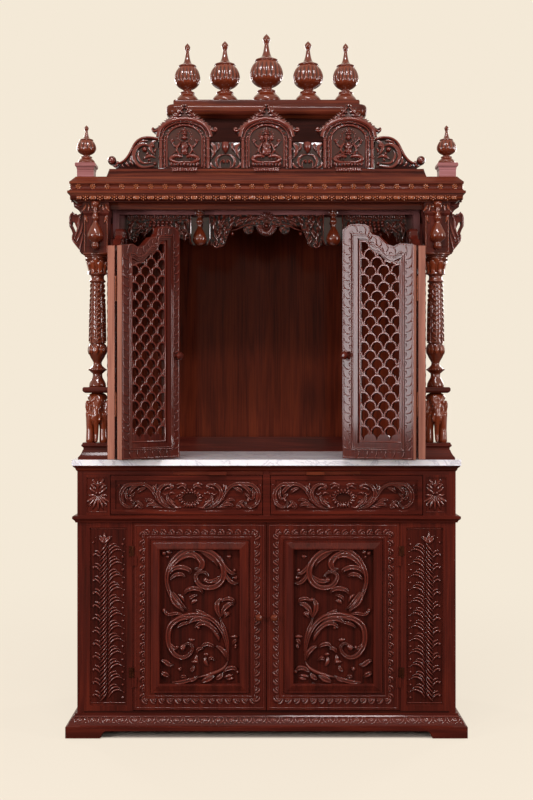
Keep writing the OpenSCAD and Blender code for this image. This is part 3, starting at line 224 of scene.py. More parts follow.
def carved_wood(name, hollow, ground, crest):
    """Carved wood, darker in the hollows and lighter on the crests by its crest value: partly stain left in the
    hollows and rubbed back on the crests, partly painted shade in the hollows and painted sheen on the crests.
    """
    finish, tree, surface, coords = new_finish(name)
    height = add_node(tree, "ShaderNodeAttribute", attribute_name="crest")
    mottle = add_node(tree, "ShaderNodeTexNoise", {"Vector": coords, "Scale": 90.0,
                                                   "Detail": 4.0}).outputs["Fac"]
    # the crest value plus a random mottle picks the colour: painted shade low down, painted sheen high up, with
    # the stain
    lifted = add_node(tree, "ShaderNodeMath", {0: mottle, 1: 0.35, 2: height.outputs["Fac"]},
                      operation="MULTIPLY_ADD")
    tone = ramp_of(tree, lifted.outputs[0], (0.14, hollow), (0.5, ground), (1.0, crest))
    tool_marks = add_node(tree, "ShaderNodeBump", {"Height": mottle, "Strength": 0.1, "Distance": 0.0006})
    tree.links.new(tool_marks.outputs[0], surface.inputs["Normal"])
    set_surface(surface, tone, {"Roughness": 0.28, "IOR": 1.5, "Specular IOR Level": 0.1, "Coat Weight": 0.9,
                                "Coat Roughness": 0.05, "Coat IOR": 1.5})
    return finish


carved = carved_wood("carved and polished rosewood", "#1a0604", "#3c120b", "#602217")
turned_finish = carved_wood("turned and carved rosewood", "#1c0705", "#47160b", "#753016")
# a lighter amber copy for the cornice's small carving: the band's amber tone, with painted glints on its flowers,
# buds and beads
glint_amber_carved = carved_wood("carved rosewood, amber crests and painted glints", "#3a130b", "#6a2a18", "#98522f")
amber = polished_wood("polished rosewood, amber heart, grain along x", "#35110a", "#4e1c11", "#6f331b", "x")
# a lighter, lilac copy of the rosewood for the frame's header and posts and the corner finials' blocks: painted
# lilac sheen, and painted light where they lie in the cornice's shade
sheen_framing = {axis: polished_wood(f"waxed rosewood frame, grain along {axis}", "#6e3f3d", "#8a5957", "#9d6b6d",
                               axis)
           for axis in "xz"}
# lighter than the other rosewood: painted light on the shrine's back and sides, which lie in shade
panelling = polished_wood("rosewood panelling with painted light, grain along z", "#3c130a", "#5c2211", "#702e16", "z",
                          coat=0.1)


def chip_carved(name, hollow, crest, chip):
    """Carved ground too fine to model: chip is the width of one leaf tip in metres."""
    finish, tree, surface, coords = new_finish(name)
    bent = add_node(tree, "ShaderNodeTexNoise", {"Vector": coords, "Scale": 0.3 / chip})
    swept = add_node(tree, "ShaderNodeVectorMath", {0: bent.outputs["Color"], 1: (chip * 2, chip * 2, chip * 2),
                                                    2: coords}, operation="MULTIPLY_ADD")
    tips = add_node(tree, "ShaderNodeTexVoronoi", {"Vector": swept.outputs[0], "Scale": 1 / chip})
    # dark in the chips' hollows and light on their tips: painted shade and painted highlight for relief that is
    # only a bump
    tone = ramp_of(tree, tips.outputs["Distance"], (0.15, crest), (0.62, hollow))
    cut = add_node(tree, "ShaderNodeBump", {"Height": tips.outputs["Distance"], "Strength": 0.9,
                                            "Distance": chip * 0.5}, invert=True)
    tree.links.new(cut.outputs[0], surface.inputs["Normal"])
    set_surface(surface, tone, {"Roughness": 0.3, "IOR": 1.5, "Specular IOR Level": 0.15, "Coat Weight": 0.3,
                                "Coat Roughness": 0.12})
    return finish


fine_carved = chip_carved("fine chip carving, rosewood", "#1c0705", "#74301f", 0.008)
# darker than the rosewood: stain of the sunk ground and painted shade among the carving
sunk_finish = polished_wood("stained ground behind carving, grain along z", "#260b06", "#3a110a", "#4c190f",
                            "z",
                            rough=0.55, coat=0.04)


def dress(names, finish):
    """Gives CAD nodes their finish."""
    for name in names.split():
        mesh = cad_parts[name].data
        for i in range(len(mesh.materials)):
            mesh.materials[i] = finish
        if not mesh.materials:
            mesh.materials.append(finish)


dress("plinth waist_moulding top_moulding drawer_deck corner_feet tray_rails skirting drawer_left_front "
      "drawer_right_front pediment_infills", rosewood["x"])
dress("tray_left tray_right door_left_knob door_right_knob architrave cornice pediment_board roof_deck", amber)
dress("frame_header", sheen_framing["x"])
dress("frame_posts", sheen_framing["z"])
dress("spandrels centre_valance", fine_carved)
dress("shrine_back shrine_sides", panelling)
dress("cabinet_sides cabinet_back corner_blocks carved_side_panels rear_posts columns column_tops "
      "side_brackets pendants leaf_left_outer leaf_left_inner "
      "leaf_right_outer leaf_right_inner leaf_knobs pediment_panels end_scrolls door_left door_right "
      "elephant_pedestals deck_finials corner_finials", rosewood["z"])
dress("ceiling roof_board roof_block cabinet_floor drawer_left_box drawer_right_box", inner["x"])


# ---- Marble top ------------------------------------------------------------
# A polished slab of white Makrana marble that carries the shrine and lies on the ogee moulding.
# Light goes a little way in, so its edges look soft; faint grey veins run across it.
marble, tree, surface, coords = new_finish("polished white marble")
clouds = add_node(tree, "ShaderNodeTexNoise", {"Vector": coords, "Scale": 5.0, "Detail": 8.0, "Roughness": 0.62,
                                               "Distortion": 2.4})
veins = ramp_of(tree, clouds.outputs["Fac"], (0.40, "#f6f5f6"), (0.47, "#efeef1"), (0.497, "#cfcdd4"),
                (0.52, "#efeef1"), (0.60, "#f4f3f5"))
set_surface(surface, veins, {"Roughness": 0.16, "IOR": 1.49, "Subsurface Weight": 0.12,
                             "Subsurface Radius": (0.006, 0.005, 0.004)})
dress("marble_top", marble)

# ---- Hinges ----------------------------------------------------------------
# Brass butt hinges, browned with age: a dull metal, lighter where hands have rubbed it.
brass, tree, surface, coords = new_finish("aged polished brass")
patina = add_node(tree, "ShaderNodeTexNoise", {"Vector": coords, "Scale": 160.0, "Detail": 4.0})
set_surface(surface, ramp_of(tree, patina.outputs["Fac"], (0.35, "#3a1d14"), (0.7, "#5e3324")),
            {"Metallic": 1.0, "Roughness": 0.32})
dress("leaf_hinges door_hinge_pins", brass)


# ---- Carving ---------------------------------------------------------------
# All relief is cut by hand in low strokes: a stroke is a closed ridge that follows a curve on the
# face of its board, rises from the ground, and is either rounded or cupped along its middle.
def through(points, n):
    """n + 1 points of a smooth curve through the given points, evenly spread between them."""
    pts = [Vector(p) for p in points]
    ends = [pts[0] * 2 - pts[1]] + pts + [pts[-1] * 2 - pts[-2]]
    made = []
    for i in range(n + 1):
        s = min(i / n * (len(pts) - 1), len(pts) - 1 - 1e-6)
        k, t = int(s), s - int(s)
        a, b, c, d = ends[k:k + 4]
        made.append(0.5 * ((2 * b) + (c - a) * t + (2 * a - 5 * b + 4 * c - d) * t * t
                           + (3 * b - a - 3 * c + d) * t ** 3))
    return made


def curl(start, heading, length, turn, tighten=0.0, n=10):
    """A curve that starts with a heading and turns by turn degrees, faster towards its end by tighten."""
    here, made = Vector(start), [Vector(start)]
    for i in range(n):
        s = (i + 0.5) / n
        angle = math.radians(heading + turn * (s + tighten * s * (s - 1)))
        here = here + Vector((math.cos(angle), math.sin(angle))) * (length / n)
        made.append(here)
    return made


scratch = bpy.data.meshes.new("scratch")


def add_cell(bm, cell, place=None):
    """Adds a small finished bmesh to a larger one, and frees it."""
    if place is not None:
        bmesh.ops.transform(cell, matrix=place, verts=cell.verts)
    cell.to_mesh(scratch)
    cell.free()
    bm.from_mesh(scratch)


SINK = 0.8                                   # how far the foot of a carving lies in its ground


def stroke(bm, spine, width, rise, taper=(0.0, 0.0), belly=0.5, cup=1.0, lean=0.0):
    """One carved ridge on the X-Z plane, standing out along -Y; sizes in mm.

    taper gives the width left at the start and the end, belly is where it is widest, cup is how high
    the middle is against the shoulders, and lean raises one shoulder over the other."""
    n = len(spine) - 1
    cell = bmesh.new()
    crest = cell.verts.layers.float.new("crest")
    made = bmesh.ops.create_grid(cell, x_segments=n, y_segments=5, size=0.5)["verts"]
    section = [(-1, 0, 0), (-0.7, 0.82 + lean, 0.75), (0, cup, 1.0), (0.7, 0.82 - lean, 0.75), (1, 0, 0),
               (-1, 0, 0)]
    for v in made:
        i = round((v.co.x + 0.5) * n)
        across, up, tint = section[round((v.co.y + 0.5) * 5)]
        s = i / n
        swell = math.sin(math.pi * s ** (math.log(0.5) / math.log(belly)))
        ends = taper[0] * (1 - s) + taper[1] * s
        size = ends + (1 - ends) * max(0.0, swell) if 0 < i < n else (taper[0] if i == 0 else taper[1])
        a, b = spine[max(0, i - 1)], spine[min(n, i + 1)]
        along = (b - a).normalized()
        place = spine[i] + Vector((-along.y, along.x)) * (across * width * 0.5 * size)
        high = rise * up * (0.35 + 0.65 * size) if size > 0 else 0.0
        v.co = Vector((place.x, -(high - (SINK if up == 0 or size == 0 else 0)), place.y)) * MM
        # the crest value is highest along the ridge and lowest at its feet and thin ends: painted sheen on the
        # ridge, painted shade at its foot, with the stain
        v[crest] = min(1.0, tint * (0.3 + 0.7 * size))
    add_cell(bm, cell)


def acanthus(bm, spine, width, rise, taper=(0.3, 0.1), belly=0.5):
    """A broad carved leaf or stem with two raised veins along it."""
    stroke(bm, spine, width, rise * 0.72, taper, belly, 0.8)
    n = len(spine) - 1
    for share in (-0.24, 0.27):
        vein = []
        for i, p in enumerate(spine):
            along = (spine[min(n, i + 1)] - spine[max(0, i - 1)]).normalized()
            swell = 0.25 + 0.75 * math.sin(math.pi * i / n)
            vein.append(p + Vector((-along.y, along.x)) * share * width * swell)
        stroke(bm, vein, width * 0.34, rise * 1.15, (0.5, 0.2), belly)


def bead(bm, at, radius, rise, squeeze=1.0, turn=0.0):
    """A rounded boss on the X-Z plane, closed underneath."""
    cell = bmesh.new()
    crest = cell.verts.layers.float.new("crest")
    c, s = math.cos(math.radians(turn)), math.sin(math.radians(turn))
    for v in bmesh.ops.create_uvsphere(cell, u_segments=10, v_segments=6, radius=1.0)["verts"]:
        x, y, z = v.co
        u, w = x * radius, z * radius * squeeze
        v.co = Vector((at[0] + u * c - w * s, -max(-SINK, -y * rise), at[1] + u * s + w * c)) * MM
        # the top of a boss takes the highest crest value: painted sheen on top, painted shade at its foot
        v[crest] = max(0.0, -y)
    add_cell(bm, cell)


def leaflet(bm, start, heading, length, width, turn, rise=5.0, cup=0.7, tighten=0.6, n=7):
    """A short cupped leaf that curls towards its tip."""
    stroke(bm, curl(start, heading, length, turn, tighten, n), width, rise, (0.45, 0.0), 0.42, cup,
           0.15 if turn > 0 else -0.15)


def round_about(at, radius, degrees, squeeze=1.0):
    """The point at an angle on a circle, or on an oval squeezed in height."""
    a = math.radians(degrees)
    return Vector((at[0] + radius * math.cos(a), at[1] + radius * squeeze * math.sin(a)))


def ring(bm, at, radius, width, rise):
    """A thin raised circle."""
    stroke(bm, [round_about(at, radius, 360 * i / 28) for i in range(29)], width, rise, (1, 1))


def rod(bm, a, b, width, rise):
    """A straight raised fillet from a to b."""
    stroke(bm, through([a, b], 1), width, rise, (1, 1))


def saved_mesh(bm):
    """A finished bmesh kept for several places; the bmesh is freed."""
    mesh = bpy.data.meshes.new("saved")
    bm.to_mesh(mesh)
    bm.free()
    return mesh


def add_copy(bm, mesh, place=None, mirrored=False):
    """Adds a saved mesh at a place, first mirrored in X if asked."""
    cell = bmesh.new()
    cell.from_mesh(mesh)
    if mirrored:
        bmesh.ops.scale(cell, vec=(-1, 1, 1), verts=cell.verts)
    add_cell(bm, cell, place)


def board(bm, outline, y, thick, ease=1.2, tint=0.35):
    """A board with a shaped outline in X-Z, its front at y, and its front arris eased."""
    cell = bmesh.new()
    crest = cell.verts.layers.float.new("crest")
    face = cell.faces.new([cell.verts.new((x * MM, y * MM, z * MM)) for x, z in outline])
    face.normal_update()
    if face.normal.y > 0:
        bmesh.ops.reverse_faces(cell, faces=[face])
    rim = bmesh.ops.extrude_face_region(cell, geom=[face])["geom"]
    for v in (g for g in rim if isinstance(g, bmesh.types.BMVert)):
        v.co.y += thick * MM
    front = [e for e in cell.edges if all(abs(v.co.y - y * MM) < 1e-6 for v in e.verts)]
    bmesh.ops.recalc_face_normals(cell, faces=cell.faces)
    bmesh.ops.bevel(cell, geom=front, offset=ease * MM, affect="EDGES", segments=2, profile=0.5, material=-1,
                    clamp_overlap=True)
    # one crest value over the whole board; grounds behind carving take a low one: painted shade
    for v in cell.verts:
        v[crest] = tint
    add_cell(bm, cell)


def finish_piece(bm, name, finish, body, smooth=True, mirrored=False):
    """Welds seams and poles, turns the faces outward and makes the object that rides on its body."""
    bmesh.ops.remove_doubles(bm, verts=bm.verts, dist=0.00002)
    bmesh.ops.dissolve_degenerate(bm, edges=bm.edges, dist=0.00001)
    if mirrored:
        bmesh.ops.scale(bm, vec=(-1, 1, 1), verts=bm.verts)
    bmesh.ops.recalc_face_normals(bm, faces=bm.faces)
    for face in bm.faces:
        face.smooth = smooth
    mesh = bpy.data.meshes.new(name)
    bm.to_mesh(mesh)
    bm.free()
    mesh.materials.append(finish)
    piece = bpy.data.objects.new(name, mesh)
    scene.collection.objects.link(piece)
    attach(piece, body)
    return piece


def sunk_ground(name, wide, high, place, body, mirrored=False):
    """A darker ground behind a carving, over the whole of its sunk field: the stain of the ground and painted
    shade among the carving.
    """
    bm = bmesh.new()
    board(bm, [(1, 1), (wide - 1, 1), (wide - 1, high - 1), (1, high - 1)], -0.5, 1.2, 0.3)
    bmesh.ops.transform(bm, matrix=place, verts=bm.verts)
    finish_piece(bm, name, sunk_finish, body, smooth=False, mirrored=mirrored)


def shift(x, y, z):
    """A placing in millimetres."""
    return Matrix.Translation(Vector((x, y, z)) * MM)




# ---- Doors -----------------------------------------------------------------
# Frame-and-panel doors, 22 mm thick. A large S-scroll of acanthus is cut in the sunk field, and a
# strip of small leaves runs round the border. The two doors mirror each other.
def on_panel(points, corner, scale):
    """Points measured on a rubbing of a carving, from its lower left corner up."""
    return [Vector(((x - corner[0]) * scale, (corner[1] - y) * scale)) for x, y in points]


RUBBING = 0.3735               # mm of wood for one unit of the rubbing
FIELD_CORNER = (245, 1340)     # lower left corner of the field on the rubbing
scroll_strokes = [  # points, width, rise, cup
    # upper scroll: its outer sweep, and the roll at its end
    ([(440, 745), (375, 690), (325, 600), (300, 500), (318, 400), (385, 300), (480, 242), (590, 240),
      (690, 285), (752, 365), (768, 450), (735, 520), (665, 555), (590, 545), (545, 500), (540, 455),
      (575, 428),
      (620, 436), (640, 468)], 34, 8, 0.8),
    ([(300, 480), (330, 395), (400, 320), (480, 290), (545, 310), (575, 360)], 26, 7, 0.6),
    ([(330, 490), (372, 452), (425, 448), (455, 470)], 20, 6, 0.6),
    ([(318, 445), (365, 398), (430, 390), (490, 415), (485, 445)], 24, 7, 0.6),
    ([(470, 255), (540, 290), (588, 350), (575, 400), (525, 402)], 30, 7, 0.6),
    ([(560, 245), (640, 300), (700, 345), (722, 400)], 18, 5, 0.7),
    ([(655, 505), (700, 490), (745, 455)], 16, 8, 1.0),
    ([(610, 500), (660, 505), (715, 490), (760, 440)], 22, 7, 0.7),
    # leaves that part below the upper scroll
    ([(335, 590), (350, 650), (390, 700), (440, 738)], 26, 8, 0.7),
    ([(350, 590), (385, 640), (420, 690), (470, 735)], 18, 7, 0.9),
    ([(395, 610), (425, 635), (450, 690)], 12, 5, 1.0),
    ([(445, 610), (470, 575), (530, 562), (580, 578), (595, 610)], 22, 7, 0.7),
    ([(485, 660), (510, 628), (555, 618)], 16, 6, 0.8),
    ([(500, 690), (525, 665), (560, 668)], 15, 6, 0.8),
    ([(455, 590), (480, 570), (492, 600)], 18, 8, 1.0),
    # sprig to the left of the middle
    ([(440, 780), (380, 765), (320, 775), (285, 760)], 16, 6, 1.0),
    ([(330, 780), (300, 765), (275, 735)], 16, 7, 1.0),
    # long leaf and stem that carry the lower scroll
    ([(800, 1150), (795, 1050), (770, 950), (720, 860), (650, 800), (560, 778), (470, 785), (390, 815),
      (330, 870), (312, 950), (322, 1030), (365, 1100), (430, 1128), (490, 1100), (512, 1045), (480, 1012),
      (440, 1030)], 32, 8, 0.8),
    ([(345, 850), (400, 815), (470, 800), (540, 812)], 20, 8, 0.8),
    ([(385, 880), (440, 848), (510, 840)], 16, 6, 0.8),
    ([(480, 840), (545, 810), (610, 815), (665, 850)], 26, 8, 0.8),
    ([(530, 885), (570, 850), (630, 850), (700, 905), (740, 960)], 24, 7, 0.7),
    ([(540, 735), (590, 765), (650, 790)], 20, 7, 0.8),
    ([(560, 760), (620, 780), (665, 800), (700, 850)], 14, 6, 1.0),
    ([(665, 895), (715, 950), (735, 1010)], 14, 5, 1.0),
    ([(330, 1010), (352, 1045), (390, 1050)], 20, 8, 0.9),
    ([(410, 1040), (430, 1060), (445, 1030), (430, 1015)], 14, 7, 1.0),
    ([(475, 980), (505, 985), (535, 978)], 14, 5, 1.0),
    # flower on its own stem to the right
    ([(800, 1130), (800, 1020), (780, 920), (752, 850), (740, 800)], 16, 6, 0.9),
    ([(740, 800), (715, 740), (715, 680), (745, 645)], 24, 7, 0.7),
    ([(745, 790), (770, 730), (815, 690), (850, 690)], 24, 7, 0.7),
    ([(770, 800), (800, 765), (800, 790)], 18, 6, 0.9),
    ([(750, 665), (795, 645), (840, 655), (858, 690)], 18, 6, 0.8),
    ([(690, 725), (705, 740), (715, 765)], 12, 5, 1.0),
    # sprig at the upper right
    ([(745, 330), (790, 400), (830, 435), (870, 440)], 18, 7, 0.9),
    ([(775, 420), (800, 480), (845, 518), (895, 515)], 18, 7, 0.9),
    ([(840, 470), (870, 480), (865, 455)], 12, 5, 1.0),
    # leaf bundle at the lower right
    ([(585, 1040), (620, 1015), (665, 1025), (690, 1050)], 20, 7, 0.8),
    ([(640, 1150), (665, 1130), (700, 1150)], 16, 7, 0.8),
    ([(545, 1090), (565, 1055), (605, 1055)], 18, 6, 0.8),
    ([(705, 1035), (745, 1055), (780, 1100), (795, 1150)], 22, 6, 0.8),
    ([(600, 1105), (625, 1100), (650, 1108)], 13, 6, 1.0),
    ([(560, 1180), (540, 1140), (550, 1095)], 15, 5, 0.8),
    ([(640, 1200), (615, 1160), (620, 1110)], 15, 5, 0.8),
    # foot of the carving, with the leaves that lie along it
    ([(345, 1330), (410, 1328), (480, 1312), (550, 1290)], 20, 8, 0.9),
    ([(465, 1322), (520, 1305), (560, 1275)], 18, 7, 0.9),
    ([(590, 1325), (640, 1300), (690, 1275)], 30, 8, 0.8),
    ([(610, 1280), (650, 1265), (690, 1240)], 14, 6, 1.0),
    ([(705, 1305), (735, 1285), (760, 1255)], 24, 7, 0.8),
    ([(765, 1245), (810, 1215), (855, 1215), (885, 1250)], 22, 7, 0.8),
    ([(770, 1290), (815, 1275), (850, 1275)], 14, 6, 1.0),
    ([(790, 1310), (830, 1300), (855, 1290)], 12, 5, 1.0),
    ([(255, 1150), (290, 1160), (320, 1185), (360, 1188)], 22, 7, 0.9),
    ([(255, 1250), (290, 1262), (325, 1285)], 24, 8, 0.9),
    ([(400, 1215), (425, 1225)], 18, 6, 1.0),
    ([(415, 1290), (440, 1280), (465, 1295)], 18, 7, 0.9),
    ([(490, 1235), (515, 1222), (520, 1190)], 18, 6, 0.9),
    ([(500, 1165), (535, 1162), (565, 1175)], 14, 6, 1.0),
    ([(800, 1160), (770, 1210), (700, 1250), (600, 1280), (520, 1300)], 14, 6, 1.0),
    # corner sprigs
    ([(820, 960), (860, 955), (895, 962)], 13, 5, 1.0),
    ([(840, 1020), (860, 990), (880, 985)], 18, 6, 0.9),
    ([(850, 1045), (880, 1040)], 12, 5, 1.0),
    ([(300, 250), (320, 270), (345, 255)], 14, 6, 1.0),
    ([(300, 300), (320, 315)], 12, 6, 1.0),
    ([(780, 245), (800, 240), (815, 250)], 10, 4, 1.0),
    ([(790, 300), (815, 302), (825, 285)], 14, 5, 1.0),
]
scroll_beads = [(278, 275, 17), (278, 742, 15), (745, 655, 15), (480, 575, 18), (855, 415, 14), (618, 495, 18),
                (430, 1040, 17), (385, 1045, 13), (865, 1030, 12), (405, 1222, 14), (665, 1130, 15),
                (775, 765, 15),
                (880, 1245, 13), (800, 770, 16), (560, 884, 12)]


front_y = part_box("marble_top")[0].y / MM
body_y = front_y + 15
door_lo, door_hi = (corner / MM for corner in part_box("door_right"))
door_foot, door_head = door_lo.z, door_hi.z
BORDER, BEVEL, SUNK = 50, 31, 5
door_edge = 406.5                  # outer edge of the door's board


def border_leaves(bm, a, b):
    """A row of paired curled leaves along a straight border from a to b."""
    wide = 24
    along = (b - a).normalized()
    out = Vector((-along.y, along.x))
    heading = math.degrees(math.atan2(along.y, along.x))
    count = round((b - a).length / 26)
    step = (b - a).length / count
    for k in range(count):
        at = a + along * (step * (k + 0.5))
        stroke(bm, curl(at - along * step * 0.45 - out * wide * 0.36, heading + 82, wide * 1.02, -125, 0.7, 8),
               7, 5, (0.6, 0.1), 0.4)
        stroke(bm, curl(at - along * step * 0.2 - out * wide * 0.34, heading + 60, wide * 0.62, -95, 0.7, 6), 5,
               4.2, (0.6, 0.1), 0.4)
        stroke(bm, curl(at - along * step * 0.5 - out * wide * 0.4, heading + 8, step * 0.95, -16, 0, 4), 4.2,
               4, (0.4, 0.1), 0.5)
        bead(bm, at + along * step * 0.2 - out * wide * 0.2, 2.8, 5)


for sign, side in ((-1, "left"), (1, "right")):
    bm = bmesh.new()
    for points, width, rise, cup in scroll_strokes:
        flat = on_panel(points, FIELD_CORNER, RUBBING)
        long = len(points) > 12
        spine = through(flat, 2 * (len(points) - 1) + 8 if long else 3 * (len(points) - 1))
        if width > 15:
            acanthus(bm, spine, width * RUBBING * (1.75 if long else 2.2), rise * 1.5,
                     (0.3, 0.4) if long else (0.3, 0.05), 0.45)
        else:
            stroke(bm, spine, width * RUBBING * 2.4, rise * 1.5, (0.25, 0.0), 0.45, cup)
    for x, y, radius in scroll_beads:
        bead(bm, on_panel([(x, y)], FIELD_CORNER, RUBBING)[0], radius * RUBBING * 1.25, 9)
    field_w, field_h = door_edge - 1.5 - 2 * (BORDER + BEVEL), door_head - door_foot - 2 * (BORDER + BEVEL)
    place = shift(-(door_edge - BORDER - BEVEL), body_y + SUNK, door_foot + BORDER + BEVEL)
    sunk_ground(f"door_{side}_ground", field_w, field_h, place, f"door_{side}", mirrored=sign > 0)
    bmesh.ops.transform(bm, matrix=place, verts=bm.verts)
    finish_piece(bm, f"door_{side}_scroll", carved, f"door_{side}", mirrored=sign > 0)

    # the mitred frame round the field: it slopes up from the border and drops to the field
    bm = bmesh.new()
    outer = (1.5 + BORDER, door_foot + BORDER, door_edge - BORDER, door_head - BORDER)
    profile = ((8, -5), (8, 0.4), (9.5, 6.4), (26, 11.5), (29.5, 11.5), (31, 9), (31, -5))
    mitres = []
    for x, z, right, up in ((outer[0], outer[1], 1, 1), (outer[2], outer[1], -1, 1),
                            (outer[2], outer[3], -1, -1), (outer[0], outer[3], 1, -1)):
        mitre = [bm.verts.new(((x + right * inset) * MM, -out * MM, (z + up * inset) * MM)) for inset,
                 out in profile]
        mitres.append([bm.edges.new((mitre[i], mitre[i - 1])) for i in range(len(mitre))])
    for k in range(4):
        bmesh.ops.bridge_loops(bm, edges=mitres[k - 1] + mitres[k])
    bmesh.ops.bevel(bm, geom=bm.edges[:], offset=0.0005, affect="EDGES", segments=2, profile=0.5, material=-1)
    bmesh.ops.transform(bm, matrix=shift(0, body_y, 0), verts=bm.verts)
    finish_piece(bm, f"door_{side}_bevel", rosewood["z"], f"door_{side}", smooth=False,
                 mirrored=sign < 0)

    # the border's strip of leaves, between two thin fillets
    bm = bmesh.new()
    left, right, low, high = 1.5 + 25, door_edge - 25, door_foot + 25, door_head - 25
    for a, b in (((left, low), (left, high)), ((right, high), (right, low)),
                 ((left, high), (right, high)), ((right, low), (left, low))):
        border_leaves(bm, Vector(a), Vector(b))
    for inset in (7, 43):
        l, r, f, h = 1.5 + inset, door_edge - inset, door_foot + inset, door_head - inset
        for a, b in (((l, f), (l, h)), ((r, f), (r, h)), ((l, f), (r, f)), ((l, h), (r, h))):
            rod(bm, a, b, 2.6, 1.6)
    bmesh.ops.transform(bm, matrix=shift(0, body_y, 0), verts=bm.verts)
    finish_piece(bm, f"door_{side}_border", carved, f"door_{side}", mirrored=sign < 0)


# ---- Side panels of the cabinet --------------------------------------------
# Fixed boards beside the doors. A tall palm stem is carved in each sunk field: short barbs are laid
# over its rib like a twist, and curled lobes leave it in groups, 39 mm from group to group.
PALM_WIDE, PALM_HIGH, LOBE = 109, 532, 39.0
bm = bmesh.new()
rib = 42                                     # the rib stands left of the field's middle
for k in range(int((PALM_HIGH - 52) / (LOBE / 3))):
    z = 4 + k * LOBE / 3
    stroke(bm, curl((rib - 14, z), 40, 40, 30, 0.2, 6), 6.4, 9, (0.35, 0.1), 0.5)
    stroke(bm, curl((rib + 13, z + 12), 66, (56, 46, 34)[k % 3], -118, 0.7, 9), 6.2, 6.4, (0.6, 0.25), 0.5, 0.9)
    if k % 3 < 2:
        stroke(bm, curl((rib - 12, z + 8), 118, (32, 23)[k % 3], 100, 0.7, 7), 6.4, 6, (0.5, 0.15), 0.5, 0.9)
for k in range(13):
    z = 10 + k * LOBE
    bead(bm, (PALM_WIDE - 11, z + 6), 4.4, 6)
    bead(bm, (PALM_WIDE - 7, z + 22), 2.8, 4)
    bead(bm, (9, z + 12), 4.0, 6)
    bead(bm, (16, z + 26), 2.6, 4)
for heading, long, turn in ((60, 34, -60), (112, 32, 50), (88, 36, 8), (34, 30, 50), (142, 26, -50)):
    leaflet(bm, (rib, PALM_HIGH - 44), heading, long, 11, turn, 7)
for a, b in (((2, 0), (PALM_WIDE - 2, 0)), ((2, PALM_HIGH - 1), (PALM_WIDE - 2, PALM_HIGH - 1))):
    rod(bm, a, b, 2.4, 2.5)
palm = saved_mesh(bm)
BODY_HALF = 557.5
panel_x = 20 - BODY_HALF                     # the left field, seen from the front
for side, mirrored in (("left", False), ("right", True)):
    bm = bmesh.new()
    bm.from_mesh(palm)
    place = shift(panel_x, body_y + SUNK, 100)
    sunk_ground(f"palm_{side}_ground", PALM_WIDE, PALM_HIGH, place, "mandir", mirrored=mirrored)
    bmesh.ops.transform(bm, matrix=place, verts=bm.verts)
    finish_piece(bm, f"palm_{side}", carved, "mandir", mirrored=mirrored)

# ---- Corner blocks ---------------------------------------------------------
# Small fixed blocks beside the drawers, each with a shell whose rays spread down from a pair of
# buds, and a sprig over it.
DRAWER_FOOT = 673
for side, mirrored in (("left", False), ("right", True)):
    bm = bmesh.new()
    for k in range(7):
        angle = -90 + (k - 3) * 17
        leaflet(bm, (28 + (k - 3) * 2.2, 50), angle, 50 - abs(k - 3) * 3, 9, (k - 3) * 7, 7, 0.75, 0.2, 6)
    for x in (23, 33):
        bead(bm, (x, 58), 5.2, 7)
    for way in (-1, 1):
        for j, (z, long, head) in enumerate(((62, 26, 25), (52, 24, -5), (70, 24, 52))):
            leaflet(bm, (28 + way * 8, z), 90 - way * (90 - head), long, 8.5, way * (55 - j * 25), 6)
        stroke(bm, curl((28, 78), 90 - way * 35, 34, -way * 150, 0.6, 8), 5, 5, (0.5, 0.2), 0.4)
        bead(bm, (28 + way * 20, 82), 3.4, 5)
        leaflet(bm, (28 + way * 4, 88), 90 - way * 62, 22, 7, way * 60, 5)
        bead(bm, (28 + way * 24, 20), 3, 4)
    leaflet(bm, (28, 74), 90, 26, 8, 6, 6)
    rod(bm, (1, 1), (55, 1), 2.2, 2.5)
    bmesh.ops.transform(bm, matrix=shift(15 - BODY_HALF, body_y + 4, DRAWER_FOOT + 9), verts=bm.verts)
    finish_piece(bm, f"corner_block_{side}_shell", carved, "mandir", mirrored=mirrored)

